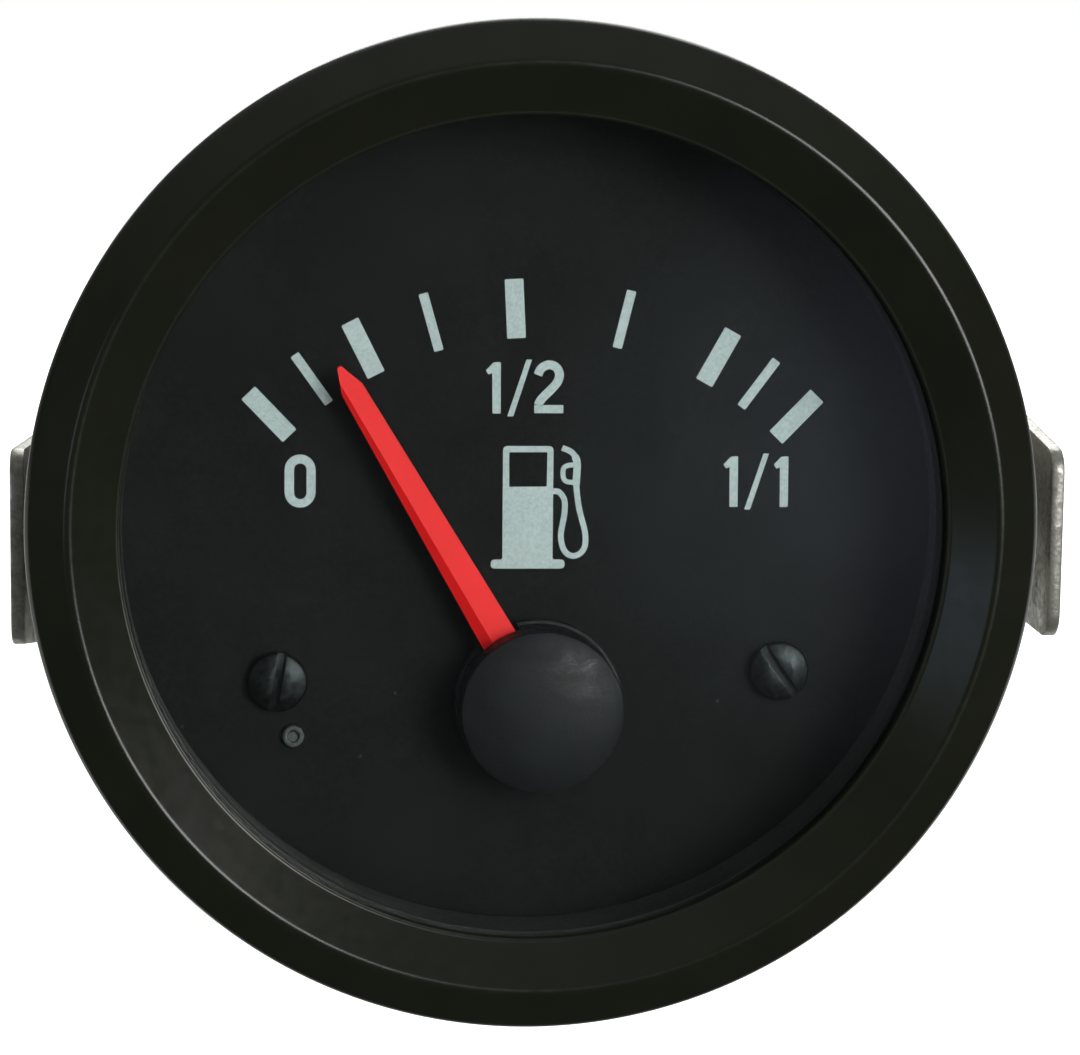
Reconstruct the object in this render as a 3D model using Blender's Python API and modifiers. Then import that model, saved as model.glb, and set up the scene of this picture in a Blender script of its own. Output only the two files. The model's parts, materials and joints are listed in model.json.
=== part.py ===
"""Fuel gauge for a 52 mm panel hole: bezel, glass, dial, crossed-coil movement, case and clamp.

Lengths are in metres. The gauge is drawn lying on its back: the dial faces local +Z, its top is
+Y, and the panel's face is Z = 0. An empty then stands it up, so that the dial faces -Y.
"""
import math

import bmesh
import bpy
from mathutils import Matrix, Vector

# Clearances
SEAT_GAP = 0.0001
SLIP_GAP = 0.0002
RUNNING_GAP = 0.00006
RIM_GAP = 0.0003
EDGE_BREAK = 0.00025
MERGE = 0.000001

# Case and bezel
BARREL_RADIUS = 0.0259
CASE_SHEET = 0.0008
CASE_DEPTH = 0.038
CASE_CORNER = 0.002
BEZEL_OVERLAP = 0.0021
BEZEL_SHEET = 0.0006
BEZEL_CREST_HEIGHT = 0.00145
BEZEL_CREST_INSET = 0.00215
BEZEL_CREST_LAND = 0.00045
LIP_THICKNESS = 0.0005

# Glass, gasket, reflector and dial
LENS_THICKNESS = 0.0012
GASKET_THICKNESS = 0.0004
REFLECTOR_WALL = 0.0017
REFLECTOR_SET_BACK = 0.0004
DIAL_DEPTH = 0.007
DIAL_THICKNESS = 0.0008
DIAL_PIN_RADIUS = 0.00065
DIAL_PIN_BORE = 0.0003
DIAL_PIN_HEIGHT = 0.00035
DIAL_PIN_SIDE = 0.0009
DIAL_PIN_BELOW = 0.0032

# Screws
DIAL_SCREW_INSET = 0.00615
DIAL_SCREW_ANGLE = math.radians(32.1)
DIAL_SCREW_TILT = math.radians(1.0)
DIAL_SCREW_RADIUS = 0.001
DIAL_SCREW_HEAD_RADIUS = 0.0017
DIAL_SCREW_HEAD_HEIGHT = 0.0009
DIAL_SCREW_TURNS = (math.radians(99), math.radians(-52))
FRAME_SCREW_RADIUS = 0.0015
FRAME_SCREW_HEAD_RADIUS = 0.0026
FRAME_SCREW_HEAD_HEIGHT = 0.0008
FRAME_SCREW_LENGTH = 0.006
SCREW_SLOT_WIDTH = 0.0005

# Pointer, measured from its pivot
PIVOT_SIDE = 0.0006
POINTER_REST = math.radians(30.6)
POINTER_LENGTH = 0.0223
POINTER_ROOT_WIDTH = 0.0021
POINTER_TIP_WIDTH = 0.0009
POINTER_TIP_LENGTH = 0.0013
POINTER_THICKNESS = 0.0008
POINTER_DEPTH = 0.0048
POINTER_RIDGE_SHARE = 0.36
POINTER_EDGE_HEIGHT = 0.0003
HUB_RADIUS = 0.0046
HUB_WALL = 0.0006
HUB_CROWN = 0.0008
HUB_TOP_DEPTH = 0.0022
HUB_BRIM = 0.00025
HUB_BRIM_HEIGHT = 0.0004
HUB_DIAL_GAP = 0.0008
HUB_EDGE = 0.0004
DIAL_HOLE_RADIUS = 0.0018
BALANCE_BORE_RADIUS = 0.0012
BALANCE_THICKNESS = 0.00065

# Movement, about the pivot
SPINDLE_RADIUS = 0.0005
SPINDLE_HOLE_RADIUS = 0.001
MAGNET_RADIUS = 0.0046
MAGNET_THICKNESS = 0.003
MAGNET_GAP = 0.0008
BOBBIN_WALL = 0.0012
BOBBIN_TUBE_RADIUS = 0.0018
COIL_THICKNESS = 0.0016
COIL_WIDTH = 0.009
BEARING_RADIUS = 0.0012
BEARING_LENGTH = 0.002
CAN_SHEET = 0.0006
CAN_CASE_GAP = 0.00426
CAN_WIRE_SLOT = 0.004
FRAME_PLATE_THICKNESS = 0.001
FRAME_BOSS_HEIGHT = 0.0011
FRAME_BOSS_RADIUS = 0.0022
FRAME_MARGIN = 0.0006
FRAME_CORNER = 0.002

# Pillars and studs
STUD_DROP = 0.00205
STUD_RADIUS = 0.002
STUD_ENGAGEMENT = 0.009
STUD_PROUD = 0.002
PILLAR_RADIUS = 0.003
STUD_NUT_WIDTH = 0.007
STUD_NUT_HEIGHT = 0.0024

# Circuit board and terminals
BOARD_THICKNESS = 0.0016
BOARD_SHARE = 0.6
BOARD_TOP = 0.004
RESISTOR_RADIUS = 0.0017
RESISTOR_LENGTH = 0.009
RESISTOR_LEAD_RADIUS = 0.00035
TERMINAL_PITCH = 0.009
TERMINAL_RIM_GAP = 0.0044
TERMINAL_WIDTH = 0.0063
TERMINAL_THICKNESS = 0.0008
TERMINAL_LENGTH = 0.0088
TERMINAL_TAIL_WIDTH = 0.0024
TERMINAL_HOLE_RADIUS = 0.0008
INSULATOR_RADIUS = 0.0045
INSULATOR_FLANGE = 0.0015
INSULATOR_SHOULDER = 0.0009
INSULATOR_SPIGOT = 0.0014

# Lamp and its twist-in holder
LAMP_RIM_GAP = 0.0049
HOLDER_RADIUS = 0.0059
HOLDER_FLANGE_RADIUS = 0.007
HOLDER_FLANGE = 0.0013
HOLDER_KNOB_RADIUS = 0.005
HOLDER_KNOB_LENGTH = 0.005
HOLDER_NOSE = 0.0014
HOLDER_WING_THICKNESS = 0.0016
HOLDER_LUG_REACH = 0.0012
HOLDER_LUG_WIDTH = 0.0025
HOLDER_LUG_HEIGHT = 0.0011
HOLDER_LOCK_ANGLE = math.radians(60)
BULB_RADIUS = 0.0025
BULB_LENGTH = 0.0192
LAMP_CONTACT_SPREAD = 0.0036
LAMP_CONTACT_WIDTH = 0.0028
LAMP_CONTACT_THICKNESS = 0.0005
LAMP_CONTACT_LENGTH = 0.005
LAMP_CONTACT_SEAT = 0.004

# Clamp bracket, washers and thumb nuts
PANEL_GAP = 0.0047
BRACKET_SIDE_GAP = 0.0027
BRACKET_SHEET = 0.0008
BRACKET_CASE_GAP = 0.0067
BRACKET_BEND = 0.0022
BRACKET_TIP_WIDTH = 0.0108
BRACKET_BASE_WIDTH = 0.0149
BRACKET_LEAN = 0.0038
BRACKET_TIP_CORNER = 0.0014
BRACKET_SLOT_LENGTH = 0.008
BRACKET_SLOT_WIDTH = 0.0062
BRACKET_SHIFT = 0.0012
WASHER_RADIUS = 0.005
WASHER_THICKNESS = 0.001
THUMB_NUT_RADIUS = 0.005
THUMB_NUT_THICKNESS = 0.0035
THUMB_NUT_COLLAR_RADIUS = 0.0038
THUMB_NUT_COLLAR = 0.001
THUMB_NUT_RIDGES = 20
RIDGE_DEPTH = 0.0003

# Steps round a full turn, and the widest angle that is shaded smooth
SMOOTH_ANGLE = math.radians(32)
STEPS_RIM = 80
STEPS_BODY = 56
STEPS_MEDIUM = 32
STEPS_SMALL = 20
STEPS_TINY = 12
STEPS_BEND = 4

# Heights worked out from the sizes above, front to rear
BEZEL_RADIUS = BARREL_RADIUS + BEZEL_OVERLAP
RIM_RADIUS = BEZEL_RADIUS - BEZEL_SHEET - RIM_GAP
CASE_BORE = BARREL_RADIUS - CASE_SHEET
FLANGE_REAR = BEZEL_SHEET + SEAT_GAP
FLANGE_FRONT = FLANGE_REAR + CASE_SHEET
GASKET_REAR = FLANGE_FRONT + SEAT_GAP
GASKET_FRONT = GASKET_REAR + GASKET_THICKNESS
LENS_REAR = GASKET_FRONT + SEAT_GAP
LENS_FRONT = LENS_REAR + LENS_THICKNESS
LIP_REAR = LENS_FRONT + SEAT_GAP
BEZEL_EDGE = LIP_REAR + LIP_THICKNESS
BEZEL_CREST = BEZEL_EDGE + BEZEL_CREST_HEIGHT
DIAL_FRONT = BEZEL_EDGE - DIAL_DEPTH
DIAL_REAR = DIAL_FRONT - DIAL_THICKNESS
DIAL_RADIUS = CASE_BORE - SLIP_GAP
REFLECTOR_BORE = DIAL_RADIUS - REFLECTOR_WALL
WINDOW_RADIUS = REFLECTOR_BORE - REFLECTOR_SET_BACK
DIAL_SCREW_CIRCLE = REFLECTOR_BORE - DIAL_SCREW_INSET
BOSS_FRONT = DIAL_REAR - SEAT_GAP
PLATE_FRONT = BOSS_FRONT - FRAME_BOSS_HEIGHT
PLATE_REAR = PLATE_FRONT - FRAME_PLATE_THICKNESS
REAR_FACE = -CASE_DEPTH
REAR_INSIDE = REAR_FACE + CASE_SHEET

# Sizes of the movement worked out from the magnet outwards
CHAMBER_RADIUS = MAGNET_RADIUS + MAGNET_GAP
CHAMBER_HEIGHT = MAGNET_THICKNESS / 2 + MAGNET_GAP
BOBBIN_HALF = CHAMBER_RADIUS + BOBBIN_WALL
BOBBIN_FLOOR = CHAMBER_HEIGHT + BOBBIN_WALL
INNER_COIL_FRONT = BOBBIN_FLOOR + SEAT_GAP + COIL_THICKNESS
BOBBIN_SHOULDER = INNER_COIL_FRONT
OUTER_COIL_FRONT = BOBBIN_SHOULDER + SEAT_GAP + COIL_THICKNESS
MOVEMENT_HALF = OUTER_COIL_FRONT + SLIP_GAP
COIL_REACH = BOBBIN_HALF + SEAT_GAP + COIL_THICKNESS
CAN_BORE = math.hypot(COIL_REACH, COIL_WIDTH / 2) + RIM_GAP
CAN_RADIUS = CAN_BORE + CAN_SHEET
PIVOT = (PIVOT_SIDE, CAN_CASE_GAP + CAN_RADIUS - CASE_BORE)
STUD_SPREAD = (CAN_RADIUS + CASE_BORE) / 2
MOVEMENT_CENTRE = PLATE_REAR - SEAT_GAP - MOVEMENT_HALF
CAN_FLOOR = MOVEMENT_CENTRE - MOVEMENT_HALF - SEAT_GAP
CAN_REAR = CAN_FLOOR - CAN_SHEET

# Heights of the pointer group
POINTER_FRONT = BEZEL_EDGE - POINTER_DEPTH
POINTER_REAR = POINTER_FRONT - POINTER_THICKNESS
HUB_TOP = BEZEL_EDGE - HUB_TOP_DEPTH
HUB_REAR = DIAL_FRONT + HUB_DIAL_GAP
HUB_CEILING = HUB_TOP - HUB_CROWN
HUB_BORE = HUB_RADIUS - HUB_WALL
HUB_FILL_RADIUS = HUB_BORE - SLIP_GAP
SPINDLE_TOP = HUB_CEILING - SEAT_GAP

# Heights of the rear fittings
BOARD_FRONT = CAN_REAR + BOARD_SHARE * (REAR_INSIDE - CAN_REAR)
BOARD_REAR = BOARD_FRONT - BOARD_THICKNESS
INSULATOR_REAR = REAR_FACE - SEAT_GAP - INSULATOR_FLANGE
HOLDER_FLANGE_REAR = REAR_FACE - SEAT_GAP - HOLDER_FLANGE
HOLDER_REAR = HOLDER_FLANGE_REAR - HOLDER_KNOB_LENGTH
HOLDER_FRONT = REAR_INSIDE + HOLDER_NOSE
LAMP_BORE = BULB_RADIUS + SLIP_GAP
LAMP_SEAT = HOLDER_REAR + HOLDER_WING_THICKNESS
LAMP_RISE = CASE_BORE - HOLDER_RADIUS - LAMP_RIM_GAP
TERMINAL_DROP = CASE_BORE - INSULATOR_RADIUS - TERMINAL_RIM_GAP
BRACKET_SPAN = 2 * (BARREL_RADIUS + BRACKET_SHIFT + BRACKET_SIDE_GAP + BRACKET_SHEET)
BRACKET_TIP = -PANEL_GAP
BRACKET_BASE = REAR_FACE - BRACKET_CASE_GAP
BRACKET_REAR = BRACKET_BASE - BRACKET_SHEET
WASHER_FRONT = BRACKET_REAR - SEAT_GAP
WASHER_REAR = WASHER_FRONT - WASHER_THICKNESS
THUMB_NUT_FRONT = WASHER_REAR - SEAT_GAP
THUMB_NUT_REAR = THUMB_NUT_FRONT - THUMB_NUT_COLLAR - THUMB_NUT_THICKNESS
STUD_REAR = THUMB_NUT_REAR - STUD_PROUD
STUD_FRONT = REAR_INSIDE + STUD_ENGAGEMENT
STUD_HOLE = STUD_RADIUS + SLIP_GAP

SIDES = {"left": -1, "right": 1}


def collection(name):
    """A new collection in the scene."""
    made = bpy.data.collections.new(name)
    bpy.context.scene.collection.children.link(made)
    return made


def material(name, colour, roughness, metallic=0.0, alpha=1.0):
    """A Principled material with one colour, roughness and metallic value."""
    made = bpy.data.materials.new(name)
    made.use_nodes = True
    shader = made.node_tree.nodes["Principled BSDF"]
    shader.inputs["Base Color"].default_value = (*colour, 1.0)
    shader.inputs["Roughness"].default_value = roughness
    shader.inputs["Metallic"].default_value = metallic
    shader.inputs["Alpha"].default_value = alpha
    return made


def place(obj, parent, location=(0, 0, 0), turn=(0, 0, 0)):
    """Hang an object on its parent at a place and turn."""
    obj.parent = parent
    obj.location = location
    obj.rotation_euler = turn
    return obj


def guide(name, parent, location=(0, 0, 0), turn=(0, 0, 0)):
    """An empty that carries other objects."""
    empty = bpy.data.objects.new(name, None)
    bpy.context.scene.collection.objects.link(empty)
    return place(empty, parent, location, turn)


def piece(name, mesh, finish):
    """An object of the gauge with its own finish."""
    obj = bpy.data.objects.new(name, mesh)
    obj.data.materials.append(finish)
    PARTS.objects.link(obj)
    return obj


def tool(name, mesh):
    """A helper that cuts or joins another object, and is not part of the gauge."""
    obj = bpy.data.objects.new(name, mesh)
    CUTTERS.objects.link(obj)
    obj.hide_render = True
    obj.display_type = "WIRE"
    return obj


def combine(obj, other, operation):
    """Combine an object with a helper by an exact Boolean; the helper takes the same frame."""
    modifier = obj.modifiers.new(other.name, "BOOLEAN")
    modifier.object = other
    modifier.operation = operation
    modifier.solver = "EXACT"
    other.parent = obj


def cut(obj, other):
    """Take a helper's shape out of an object."""
    combine(obj, other, "DIFFERENCE")


def join(obj, other):
    """Add a helper's shape to an object."""
    combine(obj, other, "UNION")


def smooth_round_faces(obj):
    """Settle an object's modifiers into its mesh and shade its round faces smooth."""
    view = bpy.context.evaluated_depsgraph_get()
    mesh = bpy.data.meshes.new_from_object(obj.evaluated_get(view))
    mesh.name = obj.name
    mesh.shade_smooth()
    mesh.set_sharp_from_angle(angle=SMOOTH_ANGLE)
    return mesh


def profile_mesh(name, profile, ring):
    """The half section that a Screw modifier turns."""
    count = len(profile)
    edges = [(i, i + 1) for i in range(count - 1)]
    if ring:
        edges.append((count - 1, 0))
    mesh = bpy.data.meshes.new(name)
    mesh.from_pydata([(radius, 0.0, height) for radius, height in profile], edges, [])
    return mesh


def turn(obj, steps):
    """Turn an object's half section about its Z axis."""
    screw = obj.modifiers.new("Turn", "SCREW")
    screw.steps = steps
    screw.render_steps = steps
    screw.use_merge_vertices = True
    screw.merge_threshold = MERGE
    screw.use_smooth_shade = False
    return obj


def turned(name, profile, steps, finish, ring=False):
    """A turned piece; its (radius, height) points run down the outer side."""
    return turn(piece(name, profile_mesh(name, profile, ring), finish), steps)


def turned_tool(name, profile, steps, ring=False):
    """A turned helper."""
    return turn(tool(name, profile_mesh(name, profile, ring)), steps)


def tube_profile(inner, outer, low, high):
    """The section of a plain ring."""
    return [(inner, high), (outer, high), (outer, low), (inner, low)]


def rod_profile(radius, low, high, edge=0.0):
    """The section of a plain rod, with its edges broken where that is wanted."""
    if edge == 0.0:
        return [(0.0, high), (radius, high), (radius, low), (0.0, low)]
    return [(0.0, high), (radius - edge, high), (radius, high - edge),
            (radius, low + edge), (radius - edge, low), (0.0, low)]


def block_mesh(name, low, high):
    """A box between two corners."""
    low, high = Vector(low), Vector(high)
    bm = bmesh.new()
    size = Matrix.Diagonal((*(high - low), 1.0))
    bmesh.ops.create_cube(bm, size=1.0, matrix=Matrix.Translation((low + high) / 2) @ size)
    mesh = bpy.data.meshes.new(name)
    bm.to_mesh(mesh)
    bm.free()
    return mesh


def arc(centre, radius, start, end, steps):
    """Points along an arc, in degrees counterclockwise."""
    points = []
    for i in range(steps + 1):
        angle = math.radians(start + (end - start) * i / steps)
        points.append((centre[0] + radius * math.cos(angle), centre[1] + radius * math.sin(angle)))
    return points


def circle(centre, radius, steps):
    """A closed circle's points."""
    return arc(centre, radius, 0, 360, steps)[:-1]


def rectangle(centre, width, height):
    """A rectangle's corners."""
    x, y = centre
    return [(x - width / 2, y - height / 2), (x + width / 2, y - height / 2),
            (x + width / 2, y + height / 2), (x - width / 2, y + height / 2)]


def rounded(corners, radius, steps=4, kept=()):
    """An outline, given counterclockwise, with its corners rounded but for those kept sharp."""
    points = []
    for i, corner in enumerate(corners):
        if i in kept:
            points.append(corner)
            continue
        here = Vector(corner)
        back = (Vector(corners[i - 1]) - here).normalized()
        ahead = (Vector(corners[(i + 1) % len(corners)]) - here).normalized()
        half = back.angle(ahead) / 2
        centre = here + (back + ahead).normalized() * radius / math.sin(half)
        start = math.atan2(*reversed(here + back * radius / math.tan(half) - centre))
        sweep = math.pi - 2 * half
        for k in range(steps + 1):
            angle = start + sweep * k / steps
            points.append(tuple(centre + Vector((math.cos(angle), math.sin(angle))) * radius))
    return points


def stadium(centre, length, width, steps=8):
    """A slot's outline: two half circles joined by straight sides, along X."""
    reach = (length - width) / 2
    x, y = centre
    return (arc((x + reach, y), width / 2, -90, 90, steps)
            + arc((x - reach, y), width / 2, 90, 270, steps))


def plate_mesh(name, outlines, low, high):
    """A flat plate between two heights, from its outline and the outlines of its holes."""
    curve = bpy.data.curves.new(name, "CURVE")
    curve.dimensions = "2D"
    curve.fill_mode = "BOTH"
    curve.extrude = (high - low) / 2
    for outline in outlines:
        spline = curve.splines.new("POLY")
        spline.points.add(len(outline) - 1)
        for point, (x, y) in zip(spline.points, outline):
            point.co = (x, y, 0.0, 1.0)
        spline.use_cyclic_u = True
    shape = bpy.data.objects.new(name, curve)
    CUTTERS.objects.link(shape)
    view = bpy.context.evaluated_depsgraph_get()
    mesh = bpy.data.meshes.new_from_object(shape.evaluated_get(view))
    bpy.data.objects.remove(shape)
    bpy.data.curves.remove(curve)
    bm = bmesh.new()
    bm.from_mesh(mesh)
    bmesh.ops.remove_doubles(bm, verts=bm.verts, dist=MERGE)
    bmesh.ops.translate(bm, verts=bm.verts, vec=(0, 0, (low + high) / 2))
    bmesh.ops.recalc_face_normals(bm, faces=bm.faces)
    bm.to_mesh(mesh)
    bm.free()
    return mesh


def slotted_screw(name, finish, sizes, slot_turn, steps):
    """A slotted screw with a crowned head; its head rests on Z = 0 and its shank goes down."""
    head, height, shank, length = sizes
    crown = height / 3
    profile = [(0.0, height), (head * 0.6, height - crown * 0.3), (head, height - crown),
               (head, 0.0), (shank, 0.0), (shank, -length), (0.0, -length)]
    screw = turned(name, profile, steps, finish)
    slot = tool(name + "_slot", block_mesh(name + "_slot",
                                           (-head * 2, -SCREW_SLOT_WIDTH / 2, height / 2),
                                           (head * 2, SCREW_SLOT_WIDTH / 2, height * 2)))
    cut(screw, slot)
    slot.rotation_euler.z = slot_turn
    return screw


def make_bezel(parent):
    """Pressed bezel: a triangular front ring, its lip over the glass and its crimp at the rear."""
    crest_out = BEZEL_RADIUS - BEZEL_CREST_INSET
    crest_in = crest_out - BEZEL_CREST_LAND
    skirt = BEZEL_RADIUS - BEZEL_SHEET
    inner_crest = (crest_out + crest_in) / 2
    break_in = EDGE_BREAK
    profile = [
        (WINDOW_RADIUS, BEZEL_EDGE),
        (crest_in, BEZEL_CREST),
        (crest_out, BEZEL_CREST),
        (BEZEL_RADIUS - break_in, BEZEL_EDGE + break_in * 0.6),
        (BEZEL_RADIUS, BEZEL_EDGE - break_in),
        (BEZEL_RADIUS, break_in),
        (BEZEL_RADIUS - break_in, 0.0),
        (BARREL_RADIUS + RIM_GAP, 0.0),
        (BARREL_RADIUS + RIM_GAP, BEZEL_SHEET),
        (skirt, BEZEL_SHEET),
        (skirt, BEZEL_EDGE - BEZEL_SHEET / 2),
        (inner_crest, BEZEL_CREST - BEZEL_SHEET),
        (inner_crest - BEZEL_CREST_HEIGHT, LIP_REAR),
        (WINDOW_RADIUS, LIP_REAR),
    ]
    place(turned("bezel_ring", profile, STEPS_RIM, BLACK_LACQUER, ring=True), parent)


def make_glazing(parent):
    """Flat glass, its rubber ring and the black reflector that stands on the dial."""
    glass = rod_profile(RIM_RADIUS - SEAT_GAP, LENS_REAR, LENS_FRONT, EDGE_BREAK)
    place(turned("lens_glass", glass, STEPS_BODY, CLEAR_GLASS), parent)
    gasket = tube_profile(WINDOW_RADIUS, RIM_RADIUS - SEAT_GAP, GASKET_REAR, GASKET_FRONT)
    place(turned("lens_gasket", gasket, STEPS_BODY, SEAL_RUBBER, ring=True), parent)
    reflector = tube_profile(REFLECTOR_BORE, DIAL_RADIUS, DIAL_FRONT + SEAT_GAP, FLANGE_FRONT)
    place(turned("reflector_ring", reflector, STEPS_BODY, BLACK_PLASTIC, ring=True), parent)


def dial_screw_spot(side):
    """Where a dial screw stands; the line through both is tilted a little, left end down."""
    angle = DIAL_SCREW_ANGLE - side * DIAL_SCREW_TILT
    return (side * DIAL_SCREW_CIRCLE * math.cos(angle), -DIAL_SCREW_CIRCLE * math.sin(angle))


def dial_pin_spot():
    """Where the locating pin stands, beside and below the left screw."""
    x, y = dial_screw_spot(-1)
    return (x + DIAL_PIN_SIDE, y - DIAL_PIN_BELOW)


def make_dial(parent):
    """Dial plate with its screws and locating pin."""
    screw_holes = [circle(dial_screw_spot(side), DIAL_SCREW_RADIUS + SEAT_GAP, STEPS_TINY)
                   for side in SIDES.values()]
    outlines = [circle((0, 0), DIAL_RADIUS, STEPS_BODY),
                circle(PIVOT, DIAL_HOLE_RADIUS, STEPS_SMALL),
                circle(dial_pin_spot(), DIAL_PIN_RADIUS + SEAT_GAP, STEPS_TINY)]
    dial = piece("dial_plate", plate_mesh("dial_plate", outlines + screw_holes,
                                          DIAL_REAR, DIAL_FRONT), BLACK_DIAL)
    place(dial, parent)
    length = DIAL_FRONT + SEAT_GAP - PLATE_REAR
    sizes = (DIAL_SCREW_HEAD_RADIUS, DIAL_SCREW_HEAD_HEIGHT, DIAL_SCREW_RADIUS, length)
    for (label, side), slot_turn in zip(SIDES.items(), DIAL_SCREW_TURNS):
        screw = slotted_screw("dial_screw_" + label, BLACK_STEEL, sizes, slot_turn, STEPS_SMALL)
        place(screw, parent, (*dial_screw_spot(side), DIAL_FRONT + SEAT_GAP))
    pin_top = DIAL_FRONT + DIAL_PIN_HEIGHT
    pin = [(0.0, DIAL_REAR), (DIAL_PIN_BORE, DIAL_REAR), (DIAL_PIN_BORE, pin_top),
           (DIAL_PIN_RADIUS, pin_top), (DIAL_PIN_RADIUS, PLATE_REAR), (0.0, PLATE_REAR)]
    place(turned("dial_locating_pin", pin, STEPS_TINY, BLACK_STEEL), parent,
          (*dial_pin_spot(), 0))


def make_frame_plate(parent):
    """Plate that carries the dial in front and the movement behind."""
    ear = STUD_SPREAD + PILLAR_RADIUS + FRAME_MARGIN
    ear_top = PILLAR_RADIUS + FRAME_MARGIN - STUD_DROP
    ear_low = -PILLAR_RADIUS - FRAME_MARGIN - STUD_DROP
    waist = dial_screw_spot(1)[0] + FRAME_BOSS_RADIUS
    waist_low = dial_pin_spot()[1] - DIAL_PIN_RADIUS - 2 * FRAME_MARGIN
    foot = PIVOT[1] - CAN_RADIUS
    foot_half = CAN_RADIUS - FRAME_MARGIN
    corners = [(ear, ear_low), (ear, ear_top), (-ear, ear_top), (-ear, ear_low),
               (-waist, waist_low), (PIVOT_SIDE - foot_half, foot),
               (PIVOT_SIDE + foot_half, foot), (waist, waist_low)]
    outlines = [rounded(corners, FRAME_CORNER),
                circle(PIVOT, SPINDLE_HOLE_RADIUS, STEPS_SMALL),
                circle(dial_pin_spot(), DIAL_PIN_RADIUS + SEAT_GAP, STEPS_TINY)]
    for side in (-1, 1):
        outlines.append(circle((side * STUD_SPREAD, -STUD_DROP),
                               FRAME_SCREW_RADIUS + SEAT_GAP, STEPS_TINY))
    plate = piece("frame_plate", plate_mesh("frame_plate", outlines, PLATE_REAR, PLATE_FRONT),
                  BARE_BRASS)
    place(plate, parent)
    for label, side in SIDES.items():
        spot = (*dial_screw_spot(side), 0)
        boss_low = (PLATE_FRONT + PLATE_REAR) / 2
        boss = turned_tool("boss_" + label,
                           rod_profile(FRAME_BOSS_RADIUS, boss_low, BOSS_FRONT), STEPS_SMALL)
        join(plate, boss)
        boss.location = spot
        hole = turned_tool("boss_hole_" + label,
                           rod_profile(DIAL_SCREW_RADIUS + SEAT_GAP,
                                       PLATE_REAR - FRAME_PLATE_THICKNESS,
                                       BOSS_FRONT + FRAME_PLATE_THICKNESS), STEPS_TINY)
        cut(plate, hole)
        hole.location = spot


def make_pillars(parent):
    """Pillars, the screws through the frame plate, the studs and the nuts behind the case."""
    top, low = PLATE_REAR - SEAT_GAP, REAR_INSIDE + SEAT_GAP
    screw_bore = FRAME_SCREW_RADIUS + SEAT_GAP
    stud_bore = STUD_RADIUS + SEAT_GAP
    screw_floor = PLATE_FRONT - FRAME_SCREW_LENGTH - SLIP_GAP
    stud_roof = STUD_FRONT + SLIP_GAP
    sizes = (FRAME_SCREW_HEAD_RADIUS, FRAME_SCREW_HEAD_HEIGHT, FRAME_SCREW_RADIUS,
             FRAME_SCREW_LENGTH)
    nut_radius = STUD_NUT_WIDTH / 2 / math.cos(math.pi / 6)
    for label, side in SIDES.items():
        spot = (side * STUD_SPREAD, -STUD_DROP, 0)
        pillar = [(0.0, screw_floor), (screw_bore, screw_floor), (screw_bore, top),
                  (PILLAR_RADIUS, top), (PILLAR_RADIUS, low), (stud_bore, low),
                  (stud_bore, stud_roof), (0.0, stud_roof)]
        place(turned("pillar_" + label, pillar, STEPS_SMALL, BARE_STEEL), parent, spot)
        screw = slotted_screw("frame_screw_" + label, BARE_STEEL, sizes, 0.0, STEPS_SMALL)
        place(screw, parent, (spot[0], spot[1], PLATE_FRONT + SEAT_GAP))
        stud = rod_profile(STUD_RADIUS, STUD_REAR, STUD_FRONT, EDGE_BREAK)
        place(turned("stud_" + label, stud, STEPS_SMALL, ZINC_PLATE), parent, spot)
        outlines = [circle((0, 0), nut_radius, 6), circle((0, 0), stud_bore, STEPS_SMALL)]
        nut_front = REAR_FACE - SEAT_GAP
        nut = piece("stud_nut_" + label,
                    plate_mesh("stud_nut", outlines, nut_front - STUD_NUT_HEIGHT, nut_front),
                    ZINC_PLATE)
        place(nut, parent, spot)


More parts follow.
